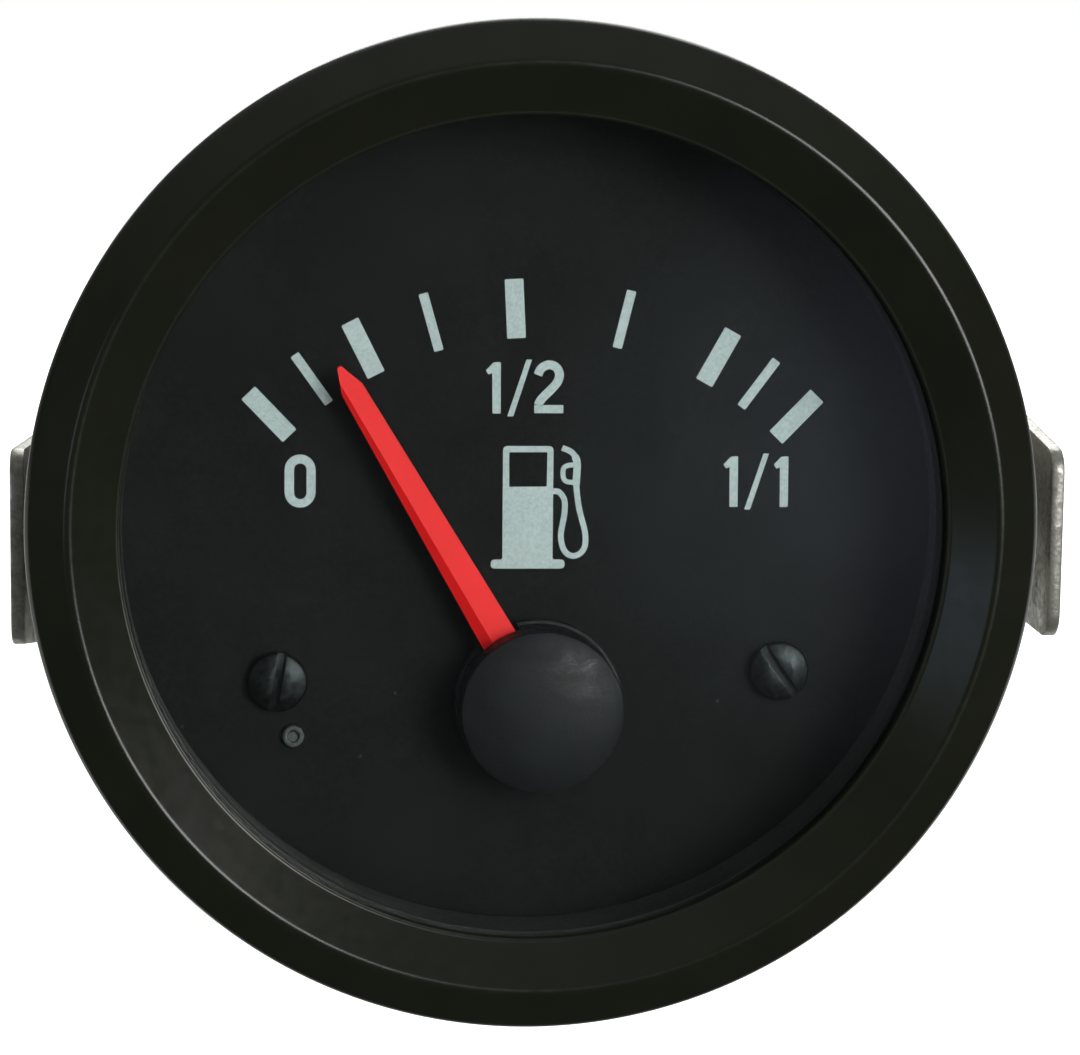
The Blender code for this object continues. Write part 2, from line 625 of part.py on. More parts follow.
def make_case(parent):
    """Drawn steel cup with its rim, and the holes for studs, terminals and lamp."""
    corner = (BARREL_RADIUS - CASE_CORNER, REAR_FACE + CASE_CORNER)
    inner_corner = CASE_CORNER - CASE_SHEET
    bend_out = [(corner[0] + CASE_CORNER * math.cos(math.radians(a)),
                 corner[1] + CASE_CORNER * math.sin(math.radians(a))) for a in (0, -30, -60, -90)]
    bend_in = [(corner[0] + inner_corner * math.cos(math.radians(a)),
                corner[1] + inner_corner * math.sin(math.radians(a))) for a in (-90, -45, 0)]
    profile = ([(0.0, REAR_INSIDE)] + bend_in
               + [(CASE_BORE, FLANGE_FRONT), (RIM_RADIUS, FLANGE_FRONT),
                  (RIM_RADIUS, FLANGE_REAR), (BARREL_RADIUS, FLANGE_REAR)]
               + bend_out + [(0.0, REAR_FACE)])
    case = turned("case_cup", profile, STEPS_BODY, ZINC_CASE)
    place(case, parent)
    low, high = REAR_FACE - CASE_SHEET, REAR_INSIDE + CASE_SHEET
    for label, side in SIDES.items():
        hole = turned_tool("stud_hole_" + label, rod_profile(STUD_HOLE, low, high), STEPS_SMALL)
        cut(case, hole)
        hole.location = (side * STUD_SPREAD, -STUD_DROP, 0)
    lamp_hole = turned_tool("lamp_hole", rod_profile(HOLDER_RADIUS + SLIP_GAP, low, high),
                            STEPS_MEDIUM)
    cut(case, lamp_hole)
    lamp_hole.location.y = LAMP_RISE
    reach = HOLDER_RADIUS + HOLDER_LUG_REACH + SLIP_GAP
    half = HOLDER_LUG_WIDTH / 2 + SLIP_GAP
    notch = tool("lamp_notch", block_mesh("lamp_notch", (-reach, -half, low), (reach, half, high)))
    cut(case, notch)
    notch.location.y = LAMP_RISE
    spigot = INSULATOR_RADIUS - INSULATOR_SHOULDER + SLIP_GAP
    opening = stadium((0, -TERMINAL_DROP), 2 * (TERMINAL_PITCH + spigot), 2 * spigot)
    cut(case, tool("terminal_opening", plate_mesh("terminal_opening", [opening], low, high)))


def make_bobbin_half(name, parent, turn_over):
    """Half of the moulded bobbin: magnet chamber, coil channels, corner posts and bearing tube."""
    half = piece(name, block_mesh(name, (-BOBBIN_HALF, -BOBBIN_HALF, SEAT_GAP / 2),
                                  (BOBBIN_HALF, BOBBIN_HALF, OUTER_COIL_FRONT)), WHITE_NYLON)
    channel = COIL_WIDTH / 2 + SLIP_GAP
    over = BOBBIN_HALF * 2
    cut(half, tool(name + "_inner_way", block_mesh(
        name + "_inner_way", (-channel, -over, BOBBIN_FLOOR), (channel, over, over))))
    cut(half, tool(name + "_outer_way", block_mesh(
        name + "_outer_way", (-over, -channel, BOBBIN_SHOULDER), (over, channel, over))))
    join(half, turned_tool(name + "_tube", rod_profile(
        BOBBIN_TUBE_RADIUS, BOBBIN_FLOOR - BOBBIN_WALL / 2, MOVEMENT_HALF), STEPS_SMALL))
    clearance = SPINDLE_RADIUS + RIM_GAP
    socket = BEARING_RADIUS + SEAT_GAP / 2
    shelf = MOVEMENT_HALF - BEARING_LENGTH - SEAT_GAP
    profile = [(0.0, over), (socket, over), (socket, shelf), (clearance, shelf),
               (clearance, CHAMBER_HEIGHT), (CHAMBER_RADIUS, CHAMBER_HEIGHT),
               (CHAMBER_RADIUS, -MAGNET_GAP), (0.0, -MAGNET_GAP)]
    cut(half, turned_tool(name + "_bore", profile, STEPS_SMALL))
    place(half, parent, turn=(turn_over, 0, 0))


def make_coil(name, parent, height, across):
    """A wound coil: a flat loop round the bobbin, open where the bearing tube passes."""
    reach = COIL_REACH
    inner_reach = reach - COIL_THICKNESS
    inner_height = height - COIL_THICKNESS
    outer = rounded(rectangle((0, 0), 2 * reach, 2 * height), COIL_THICKNESS * 0.8)
    inner = rectangle((0, 0), 2 * inner_reach, 2 * inner_height)
    coil = piece(name, plate_mesh(name, [outer, inner], -COIL_WIDTH / 2, COIL_WIDTH / 2),
                 ENAMELLED_WIRE)
    hole = turned_tool(name + "_hole", rod_profile(BOBBIN_TUBE_RADIUS + SLIP_GAP,
                                                   -height * 2, height * 2), STEPS_SMALL)
    cut(coil, hole)
    hole.rotation_euler.x = math.pi / 2
    place(coil, parent, turn=(math.pi / 2, 0, across))


def make_movement(parent):
    """Crossed-coil movement: bobbin, two coils, bearings and the shield can round them."""
    centre = guide("movement_centre", parent, (*PIVOT, MOVEMENT_CENTRE))
    make_bobbin_half("bobbin_front", centre, 0.0)
    make_bobbin_half("bobbin_rear", centre, math.pi)
    make_coil("inner_coil", centre, INNER_COIL_FRONT, math.pi / 2)
    make_coil("outer_coil", centre, OUTER_COIL_FRONT, 0.0)
    seat = MOVEMENT_HALF - BEARING_LENGTH
    bore = SPINDLE_RADIUS + RUNNING_GAP
    front = tube_profile(bore, BEARING_RADIUS, seat, MOVEMENT_HALF)
    place(turned("front_bearing", front, STEPS_SMALL, BARE_BRASS, ring=True), centre)
    floor = -MOVEMENT_HALF + BEARING_LENGTH / 2
    rear = [(0.0, floor), (bore, floor + bore), (bore, -seat), (BEARING_RADIUS, -seat),
            (BEARING_RADIUS, -MOVEMENT_HALF), (0.0, -MOVEMENT_HALF)]
    place(turned("rear_bearing", rear, STEPS_SMALL, BARE_BRASS), centre)
    axis = guide("can_axis", parent, (*PIVOT, 0))
    can = [(0.0, CAN_FLOOR), (CAN_BORE, CAN_FLOOR), (CAN_BORE, PLATE_REAR - SEAT_GAP),
           (CAN_RADIUS, PLATE_REAR - SEAT_GAP), (CAN_RADIUS, CAN_FLOOR),
           (CAN_RADIUS - CAN_SHEET, CAN_REAR), (0.0, CAN_REAR)]
    shield = turned("shield_can", can, STEPS_MEDIUM, BARE_STEEL)
    place(shield, axis)
    slot = CAN_WIRE_SLOT / 2
    cut(shield, tool("can_wire_slot", block_mesh(
        "can_wire_slot", (-slot, 0, CAN_FLOOR + CAN_WIRE_SLOT), (slot, CAN_RADIUS * 2, 0))))
    return floor


def make_rotor(axis, rear_bearing_floor):
    """Spindle and its magnet, which turn with the pointer."""
    bottom = MOVEMENT_CENTRE + rear_bearing_floor + SPINDLE_RADIUS + SLIP_GAP
    spindle = [(0.0, SPINDLE_TOP), (SPINDLE_RADIUS, SPINDLE_TOP), (SPINDLE_RADIUS, bottom),
               (0.0, bottom - SPINDLE_RADIUS)]
    place(turned("spindle", spindle, STEPS_SMALL, BARE_STEEL), axis)
    half = MAGNET_THICKNESS / 2
    magnet = tube_profile(SPINDLE_RADIUS + RUNNING_GAP, MAGNET_RADIUS,
                          MOVEMENT_CENTRE - half, MOVEMENT_CENTRE + half)
    place(turned("magnet_rotor", magnet, STEPS_SMALL, FERRITE, ring=True), axis)


def blade_mesh(name):
    """Pointer blade: a tapered bar with a long tip and a ridge that runs left of its middle."""
    root, tip = POINTER_ROOT_WIDTH / 2, POINTER_TIP_WIDTH / 2
    shoulder = POINTER_LENGTH - POINTER_TIP_LENGTH
    outline = [(-root, 0.0), (root, 0.0), (tip, shoulder), (0.0, POINTER_LENGTH),
               (-tip, shoulder)]
    mesh = plate_mesh(name, [outline], POINTER_REAR, POINTER_FRONT)
    bm = bmesh.new()
    bm.from_mesh(mesh)
    ridge = Vector((POINTER_ROOT_WIDTH * POINTER_RIDGE_SHARE - root, 0.0, POINTER_FRONT))
    ridge_tip = Vector((0.0, POINTER_LENGTH, POINTER_FRONT))
    edge = POINTER_REAR + POINTER_EDGE_HEIGHT
    for side in (-1, 1):
        corner = Vector((side * root, 0.0, edge))
        normal = (ridge_tip - ridge).cross(corner - ridge).normalized()
        if normal.z < 0:
            normal.negate()
        faces = bm.verts[:] + bm.edges[:] + bm.faces[:]
        cut_line = bmesh.ops.bisect_plane(bm, geom=faces, dist=MERGE / 10, plane_co=ridge,
                                          plane_no=normal, clear_outer=True)
        loop = [item for item in cut_line["geom_cut"] if isinstance(item, bmesh.types.BMEdge)]
        bmesh.ops.contextual_create(bm, geom=loop)
    bmesh.ops.recalc_face_normals(bm, faces=bm.faces)
    bm.to_mesh(mesh)
    bm.free()
    return mesh


def make_pointer(axis):
    """Red pointer, the balance weight behind it and the black cap over both."""
    disc = [(0.0, POINTER_FRONT), (HUB_FILL_RADIUS, POINTER_FRONT),
            (HUB_FILL_RADIUS, POINTER_REAR), (0.0, POINTER_REAR)]
    pointer = piece("pointer", blade_mesh("pointer"), RED_PLASTIC)
    join(pointer, turned_tool("pointer_disc", disc, STEPS_SMALL))
    cut(pointer, turned_tool("pointer_bore", rod_profile(
        SPINDLE_RADIUS + RUNNING_GAP, POINTER_REAR - HUB_WALL, POINTER_FRONT + HUB_WALL),
        STEPS_TINY))
    place(pointer, axis)
    weight_low = POINTER_FRONT + SEAT_GAP
    outline = (arc((0, 0), HUB_FILL_RADIUS, 180, 360, 14)
               + arc((0, 0), BALANCE_BORE_RADIUS, 360, 180, 8))
    place(piece("balance_weight", plate_mesh("balance_weight", [outline], weight_low,
                                             weight_low + BALANCE_THICKNESS), BARE_BRASS), axis)
    brim = HUB_RADIUS + HUB_BRIM
    brim_top = HUB_REAR + HUB_BRIM_HEIGHT
    shoulder = HUB_TOP - HUB_EDGE
    profile = [(0.0, HUB_TOP), (HUB_RADIUS * 0.5, HUB_TOP - HUB_EDGE * 0.2),
               (HUB_RADIUS - HUB_EDGE, HUB_TOP - HUB_EDGE * 0.5), (HUB_RADIUS, shoulder),
               (HUB_RADIUS, brim_top), (brim, brim_top), (brim, HUB_REAR),
               (HUB_BORE, HUB_REAR), (HUB_BORE, HUB_CEILING), (0.0, HUB_CEILING)]
    cap = turned("hub_cap", profile, STEPS_MEDIUM, BLACK_PLASTIC)
    half = POINTER_ROOT_WIDTH / 2 + SLIP_GAP
    cut(cap, tool("hub_slot", block_mesh("hub_slot", (-half, 0, HUB_REAR - HUB_WALL),
                                         (half, brim * 2, POINTER_FRONT + SEAT_GAP))))
    place(cap, axis)


def make_board(parent):
    """Circuit board behind the movement, with the series resistor on it."""
    radius = CASE_BORE - RIM_GAP * 2
    lean = math.degrees(math.asin(BOARD_TOP / radius))
    tail = (TERMINAL_TAIL_WIDTH + 2 * SEAT_GAP, TERMINAL_THICKNESS + 2 * SEAT_GAP)
    outlines = [arc((0, 0), radius, -180 - lean, lean, STEPS_MEDIUM)]
    for side in (-1, 1):
        outlines.append(circle((side * STUD_SPREAD, -STUD_DROP), PILLAR_RADIUS + SLIP_GAP,
                               STEPS_SMALL))
    for step in (-1, 0, 1):
        outlines.append(rectangle((step * TERMINAL_PITCH, -TERMINAL_DROP), *tail))
    board = piece("circuit_board", plate_mesh("circuit_board", outlines, BOARD_REAR, BOARD_FRONT),
                  BOARD_LAMINATE)
    place(board, parent)
    half = RESISTOR_LENGTH / 2
    body = turned("series_resistor", rod_profile(RESISTOR_RADIUS, -half, half, RESISTOR_RADIUS / 3),
                  STEPS_SMALL, RESISTOR_GREEN)
    reach = half + RESISTOR_RADIUS
    foot = RESISTOR_RADIUS + SEAT_GAP
    for name, sign in (("lead_in", 1), ("lead_out", -1)):
        wire = wire_mesh(name, [(0, 0, sign * half * 0.8), (0, 0, sign * reach),
                                (foot, 0, sign * reach)], RESISTOR_LEAD_RADIUS)
        join(body, tool(name, wire))
    height = BOARD_FRONT + foot + SEAT_GAP
    place(body, parent, (0, -(STUD_DROP + TERMINAL_DROP) / 2, height), (0, math.pi / 2, 0))


def wire_mesh(name, points, radius):
    """A round wire along straight runs, as a closed mesh."""
    curve = bpy.data.curves.new(name, "CURVE")
    curve.dimensions = "3D"
    curve.bevel_depth = radius
    curve.bevel_resolution = 1
    curve.use_fill_caps = True
    spline = curve.splines.new("POLY")
    spline.points.add(len(points) - 1)
    for point, place_at in zip(spline.points, points):
        point.co = (*place_at, 1.0)
    shape = bpy.data.objects.new(name, curve)
    CUTTERS.objects.link(shape)
    view = bpy.context.evaluated_depsgraph_get()
    mesh = bpy.data.meshes.new_from_object(shape.evaluated_get(view))
    bpy.data.objects.remove(shape)
    bpy.data.curves.remove(curve)
    bm = bmesh.new()
    bm.from_mesh(mesh)
    bmesh.ops.remove_doubles(bm, verts=bm.verts, dist=MERGE)
    bmesh.ops.recalc_face_normals(bm, faces=bm.faces)
    bm.to_mesh(mesh)
    bm.free()
    return mesh


def make_terminals(parent):
    """Moulded insulator and the three blade terminals through it."""
    length = 2 * (TERMINAL_PITCH + INSULATOR_RADIUS)
    slot = (TERMINAL_TAIL_WIDTH + 2 * SEAT_GAP, TERMINAL_THICKNESS + 2 * SEAT_GAP)
    flange_front = REAR_FACE - SEAT_GAP
    spigot = 2 * (INSULATOR_RADIUS - INSULATOR_SHOULDER)
    middle = (0, -TERMINAL_DROP)
    block = piece("terminal_insulator", plate_mesh(
        "terminal_insulator", [stadium(middle, length, 2 * INSULATOR_RADIUS)],
        INSULATOR_REAR, flange_front), BLACK_PLASTIC)
    join(block, tool("insulator_spigot", plate_mesh(
        "insulator_spigot", [stadium(middle, 2 * TERMINAL_PITCH + spigot, spigot)],
        (INSULATOR_REAR + flange_front) / 2, REAR_INSIDE + INSULATOR_SPIGOT)))
    place(block, parent)
    end = INSULATOR_REAR - SEAT_GAP
    tip = TERMINAL_WIDTH / 2 - TERMINAL_THICKNESS
    tail_end = BOARD_FRONT + RIM_GAP * 2
    edge = TERMINAL_WIDTH / 2
    tail = TERMINAL_TAIL_WIDTH / 2
    outline = [(-tail, tail_end), (-tail, end), (-edge, end),
               (-edge, end - TERMINAL_LENGTH + TERMINAL_THICKNESS), (-tip, end - TERMINAL_LENGTH),
               (tip, end - TERMINAL_LENGTH), (edge, end - TERMINAL_LENGTH + TERMINAL_THICKNESS),
               (edge, end), (tail, end), (tail, tail_end)]
    hole = circle((0, end - TERMINAL_LENGTH * 0.55), TERMINAL_HOLE_RADIUS, 8)
    half = TERMINAL_THICKNESS / 2
    for name, step in (("terminal_supply", -1), ("terminal_sender", 0), ("terminal_ground", 1)):
        passage = tool(name + "_way", block_mesh(
            name + "_way", (step * TERMINAL_PITCH - slot[0] / 2, middle[1] - slot[1] / 2,
                            INSULATOR_REAR * 2),
            (step * TERMINAL_PITCH + slot[0] / 2, middle[1] + slot[1] / 2, 0)))
        cut(block, passage)
        blade = piece(name, plate_mesh(name, [outline, hole], -half, half), TINNED_BRASS)
        place(blade, parent, (step * TERMINAL_PITCH, -TERMINAL_DROP, 0), (math.pi / 2, 0, 0))


def make_lamp(parent):
    """Twist-in lamp holder with its bulb and contacts, on the axis that it turns about."""
    axis = guide("lamp_axis", parent, (0, LAMP_RISE, 0), (0, 0, HOLDER_LOCK_ANGLE))
    flange_front = REAR_FACE - SEAT_GAP
    profile = [(0.0, LAMP_SEAT), (LAMP_BORE, LAMP_SEAT), (LAMP_BORE, HOLDER_FRONT),
               (HOLDER_RADIUS, HOLDER_FRONT), (HOLDER_RADIUS, flange_front),
               (HOLDER_FLANGE_RADIUS, flange_front), (HOLDER_FLANGE_RADIUS, HOLDER_FLANGE_REAR),
               (HOLDER_KNOB_RADIUS, HOLDER_FLANGE_REAR), (HOLDER_KNOB_RADIUS, HOLDER_REAR),
               (0.0, HOLDER_REAR)]
    holder = turned("lamp_holder", profile, STEPS_MEDIUM, BLACK_PLASTIC)
    place(holder, axis)
    inner, outer = HOLDER_RADIUS * 0.8, HOLDER_RADIUS + HOLDER_LUG_REACH
    half = HOLDER_LUG_WIDTH / 2
    low = REAR_INSIDE + SEAT_GAP
    for label, side in SIDES.items():
        ends = sorted((side * inner, side * outer))
        join(holder, tool("lug_" + label, block_mesh(
            "lug_" + label, (ends[0], -half, low), (ends[1], half, low + HOLDER_LUG_HEIGHT))))
    wing = HOLDER_WING_THICKNESS / 2
    join(holder, tool("holder_wing", block_mesh(
        "holder_wing", (-HOLDER_FLANGE_RADIUS + HOLDER_LUG_REACH / 2, -wing, HOLDER_REAR),
        (HOLDER_FLANGE_RADIUS - HOLDER_LUG_REACH / 2, wing,
         (HOLDER_FLANGE_REAR + flange_front) / 2))))
    cut(holder, turned_tool("holder_bore", rod_profile(LAMP_BORE, LAMP_SEAT, 0.0), STEPS_MEDIUM))
    seat = HOLDER_REAR + LAMP_CONTACT_SEAT
    width, thick = LAMP_CONTACT_WIDTH / 2, LAMP_CONTACT_THICKNESS / 2
    for label, side in SIDES.items():
        y = side * LAMP_CONTACT_SPREAD
        cut(holder, tool("contact_slot_" + label, block_mesh(
            "contact_slot_" + label,
            (-width - SEAT_GAP, y - thick - SEAT_GAP, HOLDER_REAR - LAMP_CONTACT_SEAT),
            (width + SEAT_GAP, y + thick + SEAT_GAP, seat + SEAT_GAP))))
        contact = piece("lamp_contact_" + label, block_mesh(
            "lamp_contact_" + label, (-width, -thick, HOLDER_REAR - LAMP_CONTACT_LENGTH),
            (width, thick, seat)), TINNED_BRASS)
        place(contact, axis, (0, y, 0))
    base = LAMP_SEAT + SEAT_GAP
    tip = base + BULB_LENGTH
    nose = arc((0.0, tip - BULB_RADIUS), BULB_RADIUS, 90, 0, 5)
    nose[0] = (0.0, tip)
    glass = turned("lamp_bulb", nose + [(BULB_RADIUS, base + BULB_RADIUS * 2),
                                        (BULB_RADIUS * 0.8, base), (0.0, base)],
                   STEPS_SMALL, LAMP_GLASS)
    place(glass, axis)


def fold_strip(mesh, half_base):
    """Fold a flat strip's two ends up to +Z; it is flat as far as half_base from its middle."""
    middle = BRACKET_BEND - BRACKET_SHEET / 2
    length = middle * math.pi / 2
    bm = bmesh.new()
    bm.from_mesh(mesh)
    for side in SIDES.values():
        for step in range(STEPS_BEND + 1):
            line = side * (half_base + length * step / STEPS_BEND)
            bmesh.ops.bisect_plane(bm, geom=bm.verts[:] + bm.edges[:] + bm.faces[:],
                                   dist=MERGE, plane_co=(line, 0, 0), plane_no=(1, 0, 0))
    for vertex in bm.verts:
        side = math.copysign(1, vertex.co.x)
        past = side * vertex.co.x - half_base
        if past > 0:
            bent = min(past, length)
            angle = bent / middle
            radius = middle - vertex.co.z
            reach = half_base + radius * math.sin(angle) + (past - bent) * math.cos(angle)
            vertex.co.x = side * reach
            vertex.co.z = middle - radius * math.cos(angle) + (past - bent) * math.sin(angle)
    bm.to_mesh(mesh)
    bm.free()
    return mesh


def make_bracket(parent):
    """U clamp folded from a slotted strip; its left leg leans down and its right leg up."""
    middle = BRACKET_BEND - BRACKET_SHEET / 2
    half_base = BRACKET_SPAN / 2 - BRACKET_BEND
    bend_end = half_base + middle * math.pi / 2
    end = bend_end + BRACKET_TIP - BRACKET_BASE + BRACKET_SHEET / 2 - middle
    tip, wide = BRACKET_TIP_WIDTH / 2, BRACKET_BASE_WIDTH / 2
    corners = [(-end, -tip), (-bend_end, -wide - BRACKET_LEAN), (bend_end, -wide + BRACKET_LEAN),
               (end, -tip), (end, tip), (bend_end, wide + BRACKET_LEAN),
               (-bend_end, wide - BRACKET_LEAN), (-end, tip)]
    outlines = [rounded(corners, BRACKET_TIP_CORNER, kept=(1, 2, 5, 6))]
    for side in SIDES.values():
        middle_of_slot = (side * STUD_SPREAD - BRACKET_SHIFT, 0)
        outlines.append(stadium(middle_of_slot, BRACKET_SLOT_LENGTH, BRACKET_SLOT_WIDTH))
    strip = plate_mesh("clamp_bracket", outlines, -BRACKET_SHEET / 2, BRACKET_SHEET / 2)
    bracket = piece("clamp_bracket", fold_strip(strip, half_base), ZINC_PLATE)
    place(bracket, parent, (BRACKET_SHIFT, -STUD_DROP, BRACKET_BASE - BRACKET_SHEET / 2))


def make_clamp_fasteners(parent):
    """Washers and knurled thumb nuts that pull the bracket up to the panel."""
    bore = STUD_RADIUS + SEAT_GAP
    knurl = []
    for i in range(2 * THUMB_NUT_RIDGES):
        radius = THUMB_NUT_RADIUS - RIDGE_DEPTH * (i % 2)
        angle = math.pi * i / THUMB_NUT_RIDGES
        knurl.append((radius * math.cos(angle), radius * math.sin(angle)))
    collar_rear = THUMB_NUT_FRONT - THUMB_NUT_COLLAR
    for label, side in SIDES.items():
        spot = (side * STUD_SPREAD, -STUD_DROP, 0)
        washer = tube_profile(STUD_RADIUS + SLIP_GAP, WASHER_RADIUS, WASHER_REAR, WASHER_FRONT)
        place(turned("clamp_washer_" + label, washer, STEPS_MEDIUM, ZINC_PLATE, ring=True),
              parent, spot)
        nut = piece("thumb_nut_" + label, plate_mesh("thumb_nut_" + label, [knurl], THUMB_NUT_REAR,
                                                     collar_rear), ZINC_PLATE)
        join(nut, turned_tool("nut_collar_" + label, rod_profile(
            THUMB_NUT_COLLAR_RADIUS, (THUMB_NUT_REAR + collar_rear) / 2, THUMB_NUT_FRONT),
            STEPS_MEDIUM))
        cut(nut, turned_tool("nut_bore_" + label, rod_profile(
            bore, THUMB_NUT_REAR - WASHER_THICKNESS, THUMB_NUT_FRONT + WASHER_THICKNESS),
            STEPS_SMALL))
        place(nut, parent, spot)


for old in list(bpy.data.objects):
    bpy.data.objects.remove(old, do_unlink=True)

PARTS = collection("fuel_gauge")
CUTTERS = collection("cutters")

BLACK_LACQUER = material("black_lacquer", (0.018, 0.018, 0.016), 0.38)
BLACK_PLASTIC = material("black_plastic", (0.014, 0.015, 0.015), 0.5)
BLACK_DIAL = material("black_dial", (0.012, 0.014, 0.015), 0.75)
BLACK_STEEL = material("black_steel", (0.02, 0.022, 0.024), 0.35, 0.6)
CLEAR_GLASS = material("clear_glass", (0.9, 0.93, 0.93), 0.03, 0.0, 0.25)
SEAL_RUBBER = material("seal_rubber", (0.01, 0.01, 0.01), 0.8)
RED_PLASTIC = material("red_plastic", (0.8, 0.04, 0.035), 0.45)
ZINC_CASE = material("zinc_case", (0.55, 0.54, 0.5), 0.42, 0.9)
ZINC_PLATE = material("zinc_plate", (0.6, 0.6, 0.58), 0.35, 0.95)
BARE_STEEL = material("bare_steel", (0.5, 0.5, 0.5), 0.35, 0.95)
BARE_BRASS = material("bare_brass", (0.72, 0.54, 0.24), 0.35, 0.95)
TINNED_BRASS = material("tinned_brass", (0.7, 0.68, 0.6), 0.35, 0.95)
WHITE_NYLON = material("white_nylon", (0.8, 0.79, 0.74), 0.5)
ENAMELLED_WIRE = material("enamelled_wire", (0.45, 0.17, 0.06), 0.35, 0.6)
FERRITE = material("ferrite", (0.06, 0.06, 0.065), 0.6)
BOARD_LAMINATE = material("board_laminate", (0.35, 0.2, 0.08), 0.6)
RESISTOR_GREEN = material("resistor_green", (0.12, 0.28, 0.2), 0.5)
LAMP_GLASS = material("lamp_glass", (0.85, 0.87, 0.86), 0.05, 0.0, 0.4)

STAND = guide("gauge_stand", None, turn=(math.pi / 2, 0, 0))
POINTER_AXIS = guide("pointer_axis", STAND, (*PIVOT, 0), (0, 0, POINTER_REST))

make_bezel(STAND)
make_glazing(STAND)
make_dial(STAND)
make_frame_plate(STAND)
make_pillars(STAND)
make_case(STAND)
BEARING_FLOOR = make_movement(STAND)
make_rotor(POINTER_AXIS, BEARING_FLOOR)
make_pointer(POINTER_AXIS)
make_board(STAND)
make_terminals(STAND)
make_lamp(STAND)
make_bracket(STAND)
make_clamp_fasteners(STAND)

SETTLED = {obj: smooth_round_faces(obj) for obj in PARTS.objects}
for obj, mesh in SETTLED.items():
    obj.modifiers.clear()
    obj.data = mesh
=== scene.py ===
"""Looks of the 52 mm fuel gauge: its worked pieces, finishes, dial print, lamps and camera.

Lengths are in metres. A piece is drawn as the gauge lies on its back: the dial faces local +Z, its
top is +Y, and the panel's face is Z = 0. It is then stood up, so that the dial faces -Y.
"""
import json
import math

import bpy
from mathutils import Matrix, Vector


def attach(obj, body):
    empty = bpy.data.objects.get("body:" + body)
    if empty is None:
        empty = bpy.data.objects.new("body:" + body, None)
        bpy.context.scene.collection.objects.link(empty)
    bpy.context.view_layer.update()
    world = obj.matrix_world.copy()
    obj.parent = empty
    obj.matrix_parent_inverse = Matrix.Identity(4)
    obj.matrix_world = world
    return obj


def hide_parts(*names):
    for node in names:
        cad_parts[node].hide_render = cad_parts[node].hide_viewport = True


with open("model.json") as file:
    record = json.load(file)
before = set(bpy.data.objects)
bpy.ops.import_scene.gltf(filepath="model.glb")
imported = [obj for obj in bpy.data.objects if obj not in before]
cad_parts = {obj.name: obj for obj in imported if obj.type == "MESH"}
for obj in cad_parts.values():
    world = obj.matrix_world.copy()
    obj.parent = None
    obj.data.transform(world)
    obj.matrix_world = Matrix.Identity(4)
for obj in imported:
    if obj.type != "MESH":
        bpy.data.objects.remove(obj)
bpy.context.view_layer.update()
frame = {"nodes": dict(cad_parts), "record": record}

MM = 0.001
MERGE = 1e-6

# Front, as in the part: radii are the gauge's own, heights are above the panel's face
WINDOW_RADIUS = 0.0228
GLASS_RADIUS = 0.027
GLASS_FRONT = 0.0033
GLASS_REAR = 0.0021
GASKET_FRONT = 0.002
GASKET_REAR = 0.0016
REFLECTOR_BORE = 0.0232
REFLECTOR_RADIUS = 0.0249
REFLECTOR_FRONT = 0.0015
REFLECTOR_REAR = -0.003
DIAL_FRONT = -0.0031
PRINT_HEIGHT = 0.00002
SHANK_END = -0.0061
SCREW_SPOTS = {"left": (-0.014255, -0.009310), "right": (0.014614, -0.008798)}
SCREW_TURNS = {"left": math.radians(80), "right": math.radians(-55)}
PIN_FROM_SCREW = (0.0009, -0.0032)

# Pointer and cap
PIVOT = (0.0006, -0.0105)
POINTER_REST = math.radians(30.6)
BLADE_FRONT = -0.0008
BLADE_REAR = -0.0017
BLADE_HUB_RADIUS = 0.0038
SPINDLE_BORE = 0.00056

# Case, studs and clamp, as in the part
BARREL_RADIUS = 0.0259
CASE_WALL = 0.0008
REAR_FACE = -0.038
STUD_SPOTS = {"left": (-0.01772, -0.00205), "right": (0.01772, -0.00205)}
STUD_RADIUS = 0.002
STUD_HOLE = 0.0022
STUD_END = -0.0532
THREAD_PITCH = 0.0007
THREAD_DEPTH = 0.00038
THREAD_TURNS = 19
THREAD_BORE = 0.0021
STUD_NUT_FRONT = -0.0381
STUD_NUT_REAR = -0.0405
STUD_NUT_HALF = 0.0035
WASHER_RADIUS = 0.005
WASHER_FRONT = -0.0456
WASHER_REAR = -0.0466
LAMP_RISE = 0.0143
LAMP_HOLE = 0.0061
TERMINAL_DROP = 0.0162

# Where a turned face starts; the small disc inside is filled flat
FACE_START = 0.002
TIP_START = 0.0002


def only(obj):
    """Leave one object selected and active."""
    bpy.ops.object.select_all(action="DESELECT")
    obj.select_set(True)
    bpy.context.view_layer.objects.active = obj


def corner_line(corners, closed=False, steps=5):
    """A line through (x, y, radius) corners, with an arc at each corner that has a radius."""
    line = []
    last = len(corners) - 1
    for i, (x, y, radius) in enumerate(corners):
        if radius == 0 or (not closed and i in (0, last)):
            line.append((x, y))
            continue
        here = Vector((x, y))
        back = (Vector(corners[i - 1][:2]) - here).normalized()
        ahead = (Vector(corners[(i + 1) % len(corners)][:2]) - here).normalized()
        half = back.angle(ahead) / 2
        centre = here + (back + ahead).normalized() * radius / math.sin(half)
        first = here + back * radius / math.tan(half) - centre
        final = here + ahead * radius / math.tan(half) - centre
        sweep = first.angle_signed(final) * -1
        for k in range(steps + 1):
            angle = math.atan2(first.y, first.x) + sweep * k / steps
            line.append((centre.x + radius * math.cos(angle),
                         centre.y + radius * math.sin(angle)))
    return line


def in_metres(points):
    """Points or corners given in millimetres, in metres."""
    return [tuple(value * MM for value in point) for point in points]


